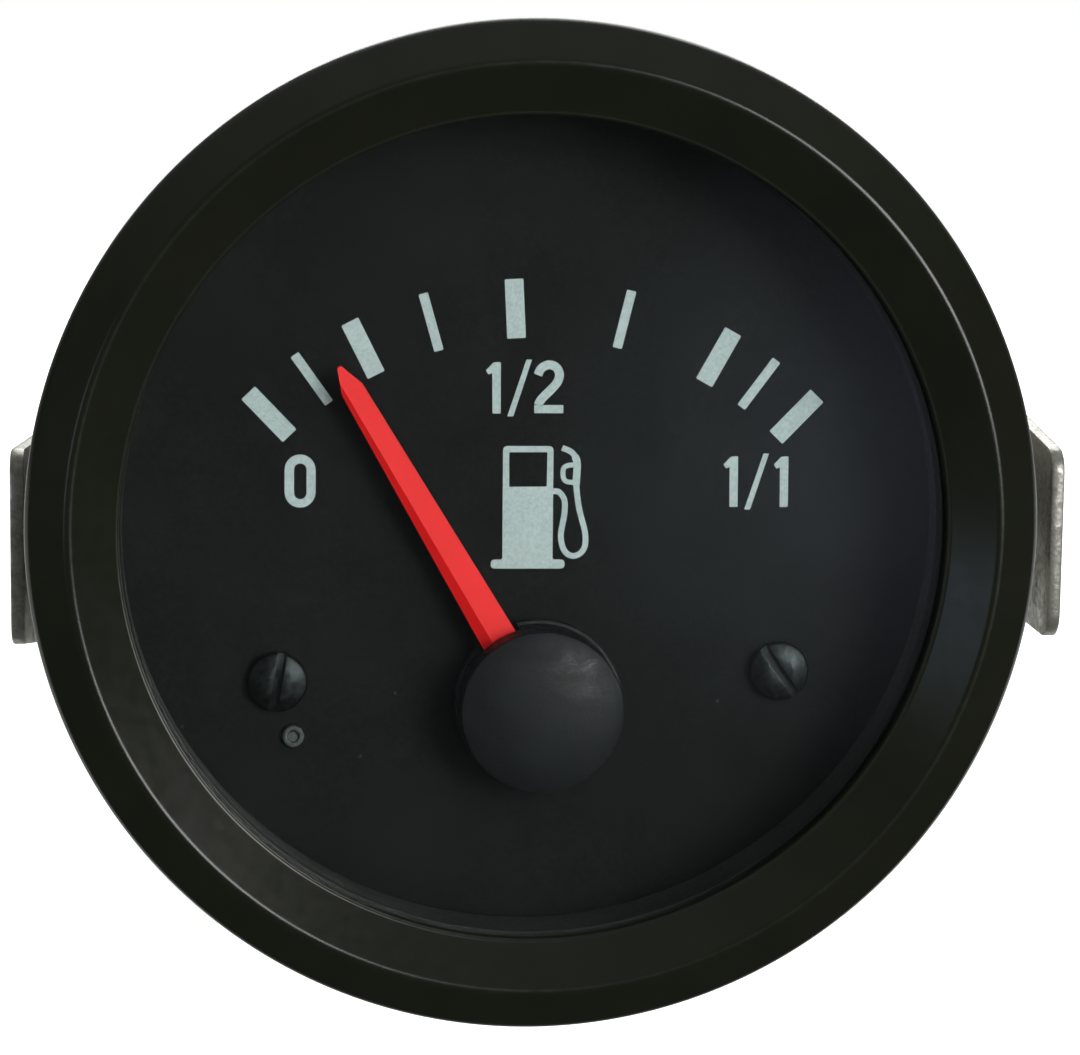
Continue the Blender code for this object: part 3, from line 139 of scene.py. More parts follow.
def smooth_line(points, steps=6):
    """A smooth line that passes through all the points."""
    ends = [points[0]] + list(points) + [points[-1]]
    line = []
    for a, b, c, d in zip(ends, ends[1:], ends[2:], ends[3:]):
        for k in range(steps):
            t = k / steps
            line.append(tuple(0.5 * (2 * q + (r - p) * t + (2 * p - 5 * q + 4 * r - s) * t * t
                                     + (3 * q - p - 3 * r + s) * t ** 3)
                              for p, q, r, s in zip(a, b, c, d)))
    return line + [points[-1]]


def stroke(points, widths):
    """The outline of a drawn line with a width at each of its points."""
    left, right = [], []
    for i, here in enumerate(points):
        before, after = points[max(i - 1, 0)], points[min(i + 1, len(points) - 1)]
        along = Vector((after[0] - before[0], after[1] - before[1])).normalized()
        side = Vector((-along.y, along.x)) * widths[i] / 2
        left.append((here[0] + side.x, here[1] + side.y))
        right.append((here[0] - side.x, here[1] - side.y))
    return left + right[::-1]


def turned(name, rings, steps, closed=False, at=(0, 0)):
    """A turned piece: a circle is extruded from ring to ring, each a (radius, height)."""
    bpy.ops.object.select_all(action="DESELECT")
    radius, height = rings[0]
    bpy.ops.mesh.primitive_circle_add(vertices=steps, radius=radius, location=(0, 0, height))
    obj = bpy.context.object
    obj.name = name
    bpy.ops.object.transform_apply(location=True, rotation=True, scale=True)
    bpy.ops.object.mode_set(mode="EDIT")
    bpy.ops.mesh.select_all(action="SELECT")
    for (old, low), (new, high) in zip(rings, rings[1:]):
        bpy.ops.mesh.extrude_region_move(TRANSFORM_OT_translate={"value": (0, 0, high - low)})
        share = new / old
        bpy.ops.transform.resize(value=(share, share, 1), center_override=(0, 0, high))
    bpy.ops.mesh.select_all(action="SELECT")
    bpy.ops.mesh.remove_doubles(threshold=MERGE)
    if not closed:
        bpy.ops.mesh.fill_holes(sides=0)
    bpy.ops.mesh.select_all(action="SELECT")
    bpy.ops.mesh.normals_make_consistent(inside=False)
    bpy.ops.transform.translate(value=(*at, 0))
    bpy.ops.object.mode_set(mode="OBJECT")
    return obj


def flat(name, outlines, low, high):
    """A flat piece between two heights, from its outline and the outlines of its holes."""
    curve = bpy.data.curves.new(name, "CURVE")
    curve.dimensions = "2D"
    curve.fill_mode = "BOTH"
    curve.extrude = (high - low) / 2
    for outline in outlines:
        spline = curve.splines.new("POLY")
        spline.points.add(len(outline) - 1)
        spline.use_cyclic_u = True
        for point, (x, y) in zip(spline.points, outline):
            point.co = (x, y, 0, 1)
    obj = bpy.data.objects.new(name, curve)
    bpy.context.scene.collection.objects.link(obj)
    only(obj)
    bpy.ops.object.convert(target="MESH")
    bpy.ops.object.mode_set(mode="EDIT")
    bpy.ops.mesh.select_all(action="SELECT")
    bpy.ops.mesh.remove_doubles(threshold=MERGE)
    bpy.ops.mesh.normals_make_consistent(inside=False)
    bpy.ops.transform.translate(value=(0, 0, (low + high) / 2))
    bpy.ops.object.mode_set(mode="OBJECT")
    return bpy.context.object


def block(name, size, centre, turn=0.0):
    """A square-edged block, as a start for a lug or a cut."""
    bpy.ops.object.select_all(action="DESELECT")
    bpy.ops.mesh.primitive_cube_add(size=1, location=centre, rotation=(0, 0, turn), scale=size)
    obj = bpy.context.object
    obj.name = name
    bpy.ops.object.transform_apply(location=True, rotation=True, scale=True)
    return obj


def combine(obj, other, operation):
    """Cut, join or intersect a piece with another, which is used up."""
    change = obj.modifiers.new(other.name, "BOOLEAN")
    change.object = other
    change.operation = operation
    change.solver = "EXACT"
    only(obj)
    bpy.ops.object.modifier_apply(modifier=change.name)
    bpy.data.objects.remove(other, do_unlink=True)


def break_edges(obj, width, angle=40, segments=2):
    """Round the edges that are sharper than an angle."""
    change = obj.modifiers.new("Edges", "BEVEL")
    change.width = width
    change.segments = segments
    change.limit_method = "ANGLE"
    change.angle_limit = math.radians(angle)
    change.use_clamp_overlap = True
    only(obj)
    bpy.ops.object.modifier_apply(modifier=change.name)


def worked_copy(node, name, width, angle=40):
    """A CAD node's own shape with its edges rounded, as the real piece's are."""
    obj = frame["nodes"][node].copy()
    obj.data = obj.data.copy()
    obj.name = name
    obj.parent = None
    obj.hide_render = False
    obj.hide_viewport = False
    bpy.context.scene.collection.objects.link(obj)
    only(obj)
    bpy.ops.object.mode_set(mode="EDIT")
    bpy.ops.mesh.select_all(action="SELECT")
    bpy.ops.mesh.remove_doubles(threshold=MERGE)
    bpy.ops.mesh.dissolve_limited(angle_limit=math.radians(1))
    bpy.ops.object.mode_set(mode="OBJECT")
    break_edges(obj, width, angle)
    return obj


def stand_up(obj):
    """Turn a piece from lying on its back to standing, with its place kept in its mesh."""
    only(obj)
    bpy.ops.object.transform_apply(location=True, rotation=True, scale=True)
    obj.rotation_euler.x = math.pi / 2
    bpy.ops.object.transform_apply(location=True, rotation=True, scale=True)


def finish(obj, material, body, replaced=(), angle=34):
    """Shade a piece, give it its finish, hang it on its body's empty and hide the CAD nodes it
    replaces.
    """
    only(obj)
    bpy.ops.object.shade_smooth_by_angle(angle=math.radians(angle))
    obj.data.materials.clear()
    obj.data.materials.append(material)
    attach(obj, body)
    if replaced:
        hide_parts(*replaced)


# Finishes ------------------------------------------------------------------------------------

def colour(text):
    """A linear colour from its sRGB hex value."""
    parts = [int(text[i:i + 2], 16) / 255 for i in (0, 2, 4)]
    return (*(p / 12.92 if p <= 0.04045 else ((p + 0.055) / 1.055) ** 2.4 for p in parts), 1.0)


def add(tree, kind, inputs=None, **settings):
    """A new node with its settings; an input is a value, or the socket that feeds it."""
    made = tree.nodes.new("ShaderNode" + kind)
    for key, value in settings.items():
        setattr(made, key, value)
    for key, value in (inputs or {}).items():
        if isinstance(value, bpy.types.NodeSocket):
            tree.links.new(value, made.inputs[key])
        else:
            made.inputs[key].default_value = value
    return made


def new_material(name, **values):
    """A material with its tree, its shader, and the shader's plain values set."""
    made = bpy.data.materials.new(name)
    made.use_nodes = True
    shader = made.node_tree.nodes["Principled BSDF"]
    for key, value in values.items():
        shader.inputs[key.replace("_", " ")].default_value = value
    return made, made.node_tree, shader


def mapped(tree, size, stretch=(1, 1, 1)):
    """The object's own coordinates, in units of a size in metres."""
    place = add(tree, "TexCoord").outputs["Object"]
    scale = tuple(1 / (size * s) for s in stretch)
    return add(tree, "Mapping", {"Vector": place, "Scale": scale}).outputs["Vector"]


def spread(tree, size, stretch=(1, 1, 1), **settings):
    """Noise on the object whose grain is about a size in metres, as a value from 0 to 1."""
    inputs = {"Vector": mapped(tree, size, stretch), "Scale": 1.0}
    inputs.update(settings)
    return add(tree, "TexNoise", inputs).outputs["Fac"]


def between(tree, value, low, high, start=0.3, end=0.7):
    """A value brought from one range into another."""
    return add(tree, "MapRange", {"Value": value, "From Min": start, "From Max": end,
                                  "To Min": low, "To Max": high}).outputs["Result"]


def blend(tree, share, first, second):
    """Two colours mixed by a value."""
    return add(tree, "Mix", {0: share, 6: first, 7: second}, data_type="RGBA").outputs[2]


def coat(tree, shader, share, first, second, rough):
    """Give a shader two tones mixed by a value, and its roughness."""
    tone = blend(tree, share, colour(first), colour(second))
    tree.links.new(tone, shader.inputs["Base Color"])
    tree.links.new(rough, shader.inputs["Roughness"])


def relief(tree, shader, height, depth):
    """Small relief of a real depth in metres on a shader's surface."""
    bump = add(tree, "Bump", {"Height": height, "Distance": depth, "Strength": 1.0})
    tree.links.new(bump.outputs["Normal"], shader.inputs["Normal"])


def stove_enamel():
    # Black stoving enamel, sprayed on pressed steel and baked. It sets to a satin with faint
    # orange peel about 0.8 mm wide, so each highlight is soft at its edge and a little uneven.
    made, tree, shader = new_material("satin_black_stove_enamel", Specular_IOR_Level=0.35)
    cloud = spread(tree, 4 * MM, Detail=3.0)
    peel = spread(tree, 0.8 * MM, Detail=2.0)
    coat(tree, shader, cloud, "14160f", "1a1d13", between(tree, peel, 0.21, 0.26))
    relief(tree, shader, peel, 0.000002)
    return made


def dial_ink():
    # Matte black ink, sprayed on the dial sheet. Its pigment grain of about 0.2 mm scatters the
    # light evenly, and a few specks of dust have settled on it since.
    made, tree, shader = new_material("matte_black_dial_ink", Specular_IOR_Level=0.1)
    grain = spread(tree, 0.25 * MM, Detail=4.0, Roughness=0.6)
    dots = add(tree, "TexVoronoi", {"Vector": mapped(tree, 3.5 * MM),
                                    "Scale": 1.0}).outputs["Distance"]
    dust = between(tree, dots, 0.6, 0.0, 0.01, 0.035)
    cloud = spread(tree, 5 * MM, Detail=5.0, Roughness=0.65, Distortion=0.5)
    thin = blend(tree, between(tree, cloud, 0, 1), colour("0a0b0b"), colour("111312"))
    thick = blend(tree, between(tree, cloud, 0, 1), colour("151715"), colour("1c1f1d"))
    ink = blend(tree, between(tree, grain, 0, 1, 0.35, 0.65), thin, thick)
    tree.links.new(blend(tree, dust, ink, colour("5b6162")), shader.inputs["Base Color"])
    tree.links.new(between(tree, grain, 0.62, 0.8), shader.inputs["Roughness"])
    relief(tree, shader, grain, 0.00001)
    return made


def marking_ink():
    # Pale grey-green ink, screen printed on the black. The mesh leaves a faint mottle of about
    # 0.15 mm in it, and the black shows through where the ink is thin.
    made, tree, shader = new_material("pale_screen_print_ink")
    mottle = spread(tree, 0.15 * MM, Detail=3.0)
    coat(tree, shader, between(tree, mottle, 0, 1), "a6b5b3", "bccbc8",
         between(tree, mottle, 0.55, 0.7))
    return made


def red_moulding():
    # Red acetal, injection moulded. The mould's fine spark-eroded face leaves it satin, and the
    # pigment flows a little unevenly along the blade.
    made, tree, shader = new_material("satin_red_acetal", Specular_IOR_Level=0.12)
    flow = spread(tree, 1.5 * MM, Detail=2.0)
    grain = spread(tree, 0.12 * MM, Detail=2.0)
    coat(tree, shader, flow, "ea191b", "f01f1e", between(tree, grain, 0.38, 0.5))
    relief(tree, shader, grain, 0.000003)
    return made


def black_moulding():
    # Black acetal, injection moulded in a spark-eroded mould, whose 0.15 mm grain turns the
    # lamps' reflections into one soft sheen. Handling has polished it in streaks about 1 mm long.
    made, tree, shader = new_material("satin_black_acetal", Specular_IOR_Level=0.26)
    grain = spread(tree, 0.15 * MM, Detail=3.0)
    tone = spread(tree, 3 * MM, Detail=2.0)
    wear = spread(tree, 0.9 * MM, (1, 1, 0.3), Detail=5.0, Roughness=0.7, Distortion=1.0)
    coat(tree, shader, tone, "0e1112", "151819", between(tree, wear, 0.34, 0.66, 0.4, 0.6))
    relief(tree, shader, grain, 0.00001)
    return made


def black_oxide():
    # Small steel screws, blackened in hot oxide and oiled. The oxide is a dark grey metal with
    # tumbling marks of about 0.3 mm, brighter where the edges have rubbed.
    made, tree, shader = new_material("black_oxide_steel", Metallic=1.0)
    marks = spread(tree, 0.3 * MM, Detail=4.0, Roughness=0.6)
    coat(tree, shader, between(tree, marks, 0, 1), "232626", "373b3c",
         between(tree, marks, 0.32, 0.5))
    relief(tree, shader, marks, 0.000008)
    return made


def zinc_plating():
    # Bright zinc, plated on rolled steel and passivated, with a film that takes some of its shine.
    # It dulls in blotches of 2 to 5 mm, over fine speckle of about 0.5 mm, so flat faces look
    # clouded and edges catch bright lines.
    made, tree, shader = new_material("mottled_zinc_plating", Metallic=0.7)
    blotch = spread(tree, 3.5 * MM, Detail=4.0, Roughness=0.6, Distortion=0.6)
    speckle = spread(tree, 0.45 * MM, Detail=4.0, Roughness=0.65)
    cloud = add(tree, "Math", {0: between(tree, blotch, 0, 0.6),
                               1: between(tree, speckle, 0, 0.4, 0.4, 0.6)},
                operation="ADD").outputs[0]
    coat(tree, shader, cloud, "b4b4ac", "75756a", between(tree, cloud, 0.22, 0.6, 0, 1))
    relief(tree, shader, speckle, 0.00003)
    return made


def zinc_case():
    # Zinc on a deep-drawn cup. The draw leaves fine lines along the barrel, about 0.25 mm apart,
    # and the plating on them is duller than on the bright parts.
    made, tree, shader = new_material("dull_zinc_on_drawn_steel", Metallic=1.0)
    lines = spread(tree, 0.25 * MM, (1, 30, 1), Detail=3.0)
    cloud = spread(tree, 6 * MM, Detail=3.0, Distortion=0.4)
    tone = add(tree, "Math", {0: between(tree, cloud, 0, 0.6), 1: between(tree, lines, 0, 0.4)},
               operation="ADD").outputs[0]
    coat(tree, shader, tone, "bab8b0", "93918a", between(tree, tone, 0.34, 0.52, 0, 1))
    relief(tree, shader, lines, 0.000006)
    return made


def window_glass():
    # Flat soda-lime glass, cut and ground to a disc. It is clear and mirror smooth, with only
    # a breath of film on its face, and lets the lamps reach the dial.
    made, tree, shader = new_material("clear_soda_lime_glass", IOR=1.52, Transmission_Weight=1.0)
    film = spread(tree, 5 * MM, Detail=3.0)
    coat(tree, shader, film, "f4f8f7", "fbfdfd", between(tree, film, 0.01, 0.05))
    clear = add(tree, "BsdfTransparent", {"Color": colour("f6f9f8")}).outputs[0]
    shadow = add(tree, "LightPath").outputs["Is Shadow Ray"]
    mix = add(tree, "MixShader", {0: shadow, 1: shader.outputs[0], 2: clear})
    tree.links.new(mix.outputs[0], tree.nodes["Material Output"].inputs["Surface"])
    return made


def lamp_glass():
    # Blown glass of a small wedge lamp, drawn thin, with faint grey inside from use.
    made, tree, shader = new_material("blown_lamp_glass", IOR=1.5, Transmission_Weight=1.0)
    haze = spread(tree, 3 * MM, Detail=2.0)
    coat(tree, shader, haze, "d9dcdb", "eef0ef", between(tree, haze, 0.04, 0.12))
    return made


def seal_rubber():
    # Nitrile rubber, cut from moulded sheet. It is dull, with bloom in soft 1 mm clouds.
    made, tree, shader = new_material("matte_nitrile_rubber")
    bloom = spread(tree, 1 * MM, Detail=4.0)
    coat(tree, shader, bloom, "161616", "222221", between(tree, bloom, 0.72, 0.9))
    relief(tree, shader, bloom, 0.00001)
    return made


def plain_metal(name, light, dark, size, rough, stretch=(1, 1, 1)):
    """A bare or plated metal with grain of one size between two tones."""
    made, tree, shader = new_material(name, Metallic=1.0)
    grain = spread(tree, size, stretch, Detail=4.0)
    coat(tree, shader, between(tree, grain, 0, 1), light, dark,
         between(tree, grain, rough, rough + 0.15))
    relief(tree, shader, grain, 0.000004)
    return made


def plain_matte(name, light, dark, size, rough, depth):
    """A moulded, sintered or laminated material with grain of one size between two tones."""
    made, tree, shader = new_material(name)
    grain = spread(tree, size, Detail=4.0)
    coat(tree, shader, between(tree, grain, 0, 1), light, dark,
         between(tree, grain, rough, rough + 0.15))
    relief(tree, shader, grain, depth)
    return made


def wound_wire():
    # Enamelled copper wire of 0.12 mm, wound in even layers: fine ribs with a lacquered shine.
    made, tree, shader = new_material("wound_enamelled_copper", Metallic=0.8, Coat_Weight=0.5)
    ribs = add(tree, "TexWave", {"Vector": mapped(tree, 0.24 * MM), "Scale": 0.31,
                                 "Distortion": 0.2}, bands_direction="DIAGONAL").outputs["Fac"]
    coat(tree, shader, ribs, "5e2c14", "b0693a", between(tree, ribs, 0.3, 0.45))
    relief(tree, shader, ribs, 0.00003)
    return made


FINISHES = {
    "black_lacquer": stove_enamel(),
    "black_dial": dial_ink(),
    "red_plastic": red_moulding(),
    "black_plastic": black_moulding(),
    "black_steel": black_oxide(),
    "zinc_plate": zinc_plating(),
    "zinc_case": zinc_case(),
    "clear_glass": window_glass(),
    "lamp_glass": lamp_glass(),
    "seal_rubber": seal_rubber(),
    "enamelled_wire": wound_wire(),
    # Free-cutting brass, turned and left bare: warm, with fine tool rings of about 0.1 mm.
    "bare_brass": plain_metal("turned_bare_brass", "d9bd7c", "b8944f", 0.1 * MM, 0.25, (8, 1, 8)),
    # Brass dipped in tin: pale and a little wavy where the tin ran, in ripples of about 1 mm.
    "tinned_brass": plain_metal("hot_tinned_brass", "d6d3c8", "b4afa2", 1.0 * MM, 0.22),
    # Cold-rolled steel, oiled and left bare: grey, with rolling grain of about 0.15 mm.
    "bare_steel": plain_metal("cold_rolled_steel", "b6b7b8", "919294", 0.15 * MM, 0.3, (1, 12, 1)),
    # Nylon, injection moulded: off-white and waxy, with a faint 0.4 mm grain.
    "white_nylon": plain_matte("moulded_nylon", "e9e6dc", "dad6c9", 0.4 * MM, 0.42, 0.000004),
    # Ferrite, pressed and sintered: charcoal, with a dry 0.2 mm grain.
    "ferrite": plain_matte("sintered_ferrite", "3a3a3d", "29292b", 0.2 * MM, 0.6, 0.00001),
    # Resin-bonded paper board: brown, with paper fibre in flecks of about 0.5 mm.
    "board_laminate": plain_matte("resin_paper_board", "a67c4a", "8b6336", 0.5 * MM, 0.45,
                                  0.000004),
    # Resistor with a green cement coat: dull and slightly pitted, in pits of about 0.3 mm.
    "resistor_green": plain_matte("cement_resistor_coat", "5d8a72", "4a725d", 0.3 * MM, 0.6,
                                  0.00001),
}
PRINT = marking_ink()
# Black dispersion paint, sprayed on the reflector's wall: dull, with a dry grain of about 0.3 mm.
WALL_PAINT = plain_matte("dull_black_wall_paint", "30322f", "272928", 0.3 * MM, 0.6, 0.000006)
# Drawn steel pin, dull from the press, with scratches of about 0.2 mm across its end.
PIN_STEEL = plain_metal("dull_drawn_steel", "5d6360", "454a48", 0.2 * MM, 0.5)

for part in frame["record"]["subparts"]:
    for held in frame["nodes"][part["node"]].material_slots:
        held.material = FINISHES[part["material_slot"]]


# Front: bezel, glass, gasket and reflector -----------------------------------------------------

def make_bezel():
    """Pressed bezel: lip, two slopes with a ring near each end that keeps them flat, rim, crimp."""
    section = [
        (22.8, 3.99, 0.12), (23.0, 3.99, 0.28), (23.131, 4.064, 0), (25.209, 5.242, 0),
        (25.4, 5.35, 0.5), (25.7, 5.35, 0.5), (25.903, 5.222, 0), (27.539, 4.184, 0),
        (27.75, 4.05, 0.7), (28.0, 3.65, 0.7), (28.0, 0.25, 0.35), (27.75, 0.0, 0.35),
        (26.2, 0.0, 0.12), (26.2, 0.6, 0.12), (27.4, 0.6, 0.1), (27.4, 3.6, 0.3),
        (25.625, 4.75, 0.1), (24.175, 3.4, 0.2), (22.8, 3.4, 0.12)]
    line = corner_line(in_metres(section), closed=True)
    bezel = turned("bezel_pressing", line + line[:1], 256, closed=True)
    stand_up(bezel)
    finish(bezel, FINISHES["black_lacquer"], "housing", ["bezel_ring"])


def ring_line(inner, outer, low, high, edge):
    """The closed section of a ring with rounded edges."""
    line = corner_line([(inner, high, edge), (outer, high, edge), (outer, low, edge),
                        (inner, low, edge)], closed=True, steps=3)
    return line + line[:1]


def make_window():
    """Flat glass with ground edges, the rubber ring under it and the black reflector wall."""
    edge = 0.00025
    even = GLASS_RADIUS - 0.0004    # a ring here keeps the faces' shading flat
    glass = turned("window_glass", corner_line([
        (FACE_START, GLASS_FRONT, 0), (even, GLASS_FRONT, 0), (GLASS_RADIUS, GLASS_FRONT, edge),
        (GLASS_RADIUS, GLASS_REAR, edge), (even, GLASS_REAR, 0), (FACE_START, GLASS_REAR, 0)],
        steps=3), 160)
    stand_up(glass)
    finish(glass, FINISHES["clear_glass"], "housing", ["lens_glass"])
    gasket = turned("glass_gasket", ring_line(WINDOW_RADIUS, GLASS_RADIUS, GASKET_REAR,
                                              GASKET_FRONT, 0.00012), 160, closed=True)
    stand_up(gasket)
    finish(gasket, FINISHES["seal_rubber"], "housing", ["lens_gasket"])
    wall = turned("reflector_wall", ring_line(REFLECTOR_BORE, REFLECTOR_RADIUS, REFLECTOR_REAR,
                                              REFLECTOR_FRONT, 0.0002), 192, closed=True)
    stand_up(wall)
    finish(wall, WALL_PAINT, "housing", ["reflector_ring"])


# Dial fittings, hub and pointer ----------------------------------------------------------------

def make_dial_fittings():
    """Two slotted screws and the hollow locating pin."""
    seat = DIAL_FRONT + 0.0001
    crown, head, shank = 0.0009, 0.0017, 0.0010
    for side, spot in SCREW_SPOTS.items():
        line = corner_line([
            (TIP_START, seat + crown, 0), (0.0009, seat + 0.86 * MM, 0),
            (head, seat + 0.60 * MM, 0.0002), (head, seat, 0.00008), (shank, seat, 0),
            (shank, SHANK_END, 0), (TIP_START, SHANK_END, 0)], steps=4)
        screw = turned("slotted_dial_screw_" + side, line, 64, at=spot)
        slot = block("slot", (0.008, 0.0005, 0.0009), (*spot, seat + crown), SCREW_TURNS[side])
        combine(screw, slot, "DIFFERENCE")
        break_edges(screw, 0.00004, 50)
        stand_up(screw)
        finish(screw, FINISHES["black_steel"], "housing", ["dial_screw_" + side])
    left, shift = SCREW_SPOTS["left"], PIN_FROM_SCREW
    bore, radius, end, hollow = 0.0003, 0.00065, -2.75 * MM, -2.95 * MM
    pin = turned("hollow_locating_pin", corner_line([
        (0.00005, hollow, 0), (bore, hollow, 0), (bore, end, 0.0001), (radius, end, 0.0001),
        (radius, SHANK_END, 0), (0.00005, SHANK_END, 0)], steps=3), 48,
        at=(left[0] + shift[0], left[1] + shift[1]))
    stand_up(pin)
    finish(pin, PIN_STEEL, "housing", ["dial_locating_pin"])


def make_pointer():
    """The ridged blade with its hub: a flat outline under a roof of two slopes."""
    outline = corner_line([(-1.19, 1.2, 0), (1.05, 1.2, 0), (0.59, 20.95, 0.5), (0.04, 22.42, 0.1),
                           (-0.18, 22.42, 0.1), (-0.73, 20.95, 0.5)], closed=True)
    slopes = [(-1.3, -1.8), (1.3, -1.8), (1.3, -1.36), (-0.48, -0.9), (-1.3, -1.3)]
    blade = flat("ridged_pointer_blade", [in_metres(outline)], BLADE_REAR, BLADE_FRONT)
    roof = flat("roof", [in_metres(slopes)], -0.024, 0.001)
    stand_up(roof)
    combine(blade, roof, "INTERSECT")
    hub = turned("hub", [(BLADE_HUB_RADIUS, -0.9 * MM), (BLADE_HUB_RADIUS, BLADE_REAR)], 64)
    combine(blade, hub, "UNION")
    combine(blade, turned("bore", [(SPINDLE_BORE, 0), (SPINDLE_BORE, -0.003)], 32), "DIFFERENCE")
    break_edges(blade, 0.00005, 12)
    blade.rotation_euler.z = POINTER_REST
    blade.location = (*PIVOT, 0)
    stand_up(blade)
    finish(blade, FINISHES["red_plastic"], "pointer_group", ["pointer"], 10)


def make_cap():
    """The domed cap over the pointer's hub, with the slot that the blade comes out of."""
    section = [(0.2, 1.7, 0), (1.3, 1.67, 0), (2.3, 1.58, 0), (3.2, 1.42, 0), (4.0, 1.2, 0),
               (4.6, 0.97, 0.15), (4.6, -1.9, 0.1), (4.85, -1.9, 0.12), (4.85, -2.3, 0.08),
               (4.0, -2.3, 0.08), (4.0, 0.4, 0.2), (0.2, 0.9, 0)]
    cap = turned("domed_hub_cap", corner_line(in_metres(section), steps=4), 128, at=PIVOT)
    reach, width, height, level = 0.006, 0.0025, 0.0021, -0.00185
    ahead = Vector((-math.sin(POINTER_REST), math.cos(POINTER_REST)))
    middle = Vector(PIVOT) + ahead * reach / 2
    slot = block("slot", (width, reach, height), (*middle, level), POINTER_REST)
    combine(cap, slot, "DIFFERENCE")
    stand_up(cap)
    finish(cap, FINISHES["black_plastic"], "pointer_group", ["hub_cap"])


# Dial print --------------------------------------------------------------------------------------

TICK_CENTRE = (0.30, -9.65)
TICK_REACH = (19.98, 23.33)
TICK_ANGLES = (134.0, 125.7, 116.8, 105.9, 93.1, 76.5, 61.0, 53.6, 45.9)
TICK_WIDTHS = (1.06, 0.54)


def moved(points, x, y):
    """Points shifted to a place."""
    return [(px + x, py + y) for px, py in points]


def printed(name, shapes):
    """Ink on the dial: each shape is an outline with its holes, in millimetres."""
    top = DIAL_FRONT + PRINT_HEIGHT
    made = [flat(name, [in_metres(outline) for outline in shape], DIAL_FRONT, top)
            for shape in shapes]
    bpy.ops.object.select_all(action="DESELECT")
    for obj in made:
        obj.select_set(True)
    bpy.context.view_layer.objects.active = made[0]
    if len(made) > 1:
        bpy.ops.object.join()
    stand_up(made[0])
    finish(made[0], PRINT, "housing")


def print_ticks():
    """The scale's nine ticks, wide and narrow in turn."""
    shapes = []
    for i, degrees in enumerate(TICK_ANGLES):
        along = Vector((math.cos(math.radians(degrees)), math.sin(math.radians(degrees))))
        side = Vector((-along.y, along.x)) * TICK_WIDTHS[i % 2] / 2
        centre = Vector(TICK_CENTRE)
        near, far = centre + along * TICK_REACH[0], centre + along * TICK_REACH[1]
        corners = [near - side, far - side, far + side, near + side]
        shapes.append([corner_line([(*c, 0.06) for c in corners], closed=True, steps=3)])
    printed("scale_ticks", shapes)


def stadium(centre, width, height, steps=10):
    """An upright outline with half-round ends."""
    x, y = centre
    reach = (height - width) / 2
    line = []
    for up, start in ((reach, 0), (-reach, 180)):
        for k in range(steps + 1):
            angle = math.radians(start + 180 * k / steps)
            line.append((x + width / 2 * math.cos(angle), y + up + width / 2 * math.sin(angle)))
    return line


def print_numerals():
    """Nought at the left, a half at the top and one at the right."""
    one = corner_line([(0, 0, 0.04), (0.47, 0, 0.04), (0.45, 2.92, 0.05), (0.04, 2.9, 0.05),
                       (-0.39, 2.45, 0.04), (-0.24, 2.21, 0.04), (-0.03, 2.3, 0)],
                      closed=True, steps=3)
    slash = [(0, 0), (0.34, 0), (1.37, 3.23), (1.06, 3.23)]
    printed("numeral_nought", [[stadium((-12.985, 2.145), 1.75, 3.03),
                                stadium((-12.975, 2.13), 0.71, 2.04)]])
    bow = smooth_line([(0.46, 8.22), (0.65, 8.6), (1.06, 8.8), (1.47, 8.68), (1.68, 8.32),
                       (1.6, 7.87), (1.24, 7.42), (0.75, 6.93), (0.56, 6.66), (0.515, 6.51)])
    foot = [(0.27, 6.05), (1.93, 6.05), (1.93, 6.51), (0.27, 6.51)]
    printed("numeral_half", [[moved(one, -2.11, 6.02)], [moved(slash, -1.26, 5.86)],
                             [stroke(bow, [0.5] * len(bow))], [foot]])
    printed("numeral_one", [[moved(one, 11.59, 0.69)], [moved(slash, 12.45, 0.54)],
                            [moved(one, 14.51, 0.69)]])


def print_pump():
    """The filling-pump symbol: cabinet with its window, foot, hose, nozzle and handle."""
    cabinet = corner_line([
        (-2.12, -2.87, 0.22), (2.12, -2.87, 0.22), (2.12, -2.35, 0.22), (1.42, -2.35, 0.12),
        (1.4, 4.17, 0.25), (-1.48, 4.17, 0.25), (-1.46, -2.35, 0.12), (-2.12, -2.35, 0.22)],
        closed=True, steps=4)
    window = corner_line([(-1.13, 3.81, 0.06), (1.06, 3.82, 0.06), (1.04, 1.85, 0.06),
                          (-1.11, 1.83, 0.06)], closed=True, steps=3)
    hose = smooth_line([
        (1.41, 1.58), (1.72, 1.55), (1.97, 1.28), (2.09, 0.91), (2.07, 0.25), (1.94, -0.5),
        (1.88, -1.03), (1.99, -1.61), (2.22, -1.98), (2.6, -2.15), (3.01, -2.0), (3.25, -1.65),
        (3.31, -1.16), (3.23, -0.58), (3.02, 0.16), (2.87, 0.82), (2.78, 1.48), (2.73, 1.98),
        (2.75, 2.55), (2.77, 3.13), (2.66, 3.54), (2.39, 3.86), (1.9, 4.07)], 4)
    grip = [0.42 if x > 2.5 and 1.9 < y < 3.6 else 0.33 for x, y in hose]
    handle = smooth_line([(2.55, 3.09), (2.24, 3.06), (1.99, 2.88), (1.98, 2.39), (2.17, 2.14),
                          (2.55, 2.1)], 4)
    printed("pump_symbol", [[cabinet, window], [stroke(hose, grip)],
                            [stroke(handle, [0.28] * len(handle))]])


# Case, studs and nuts -------------------------------------------------------------------------

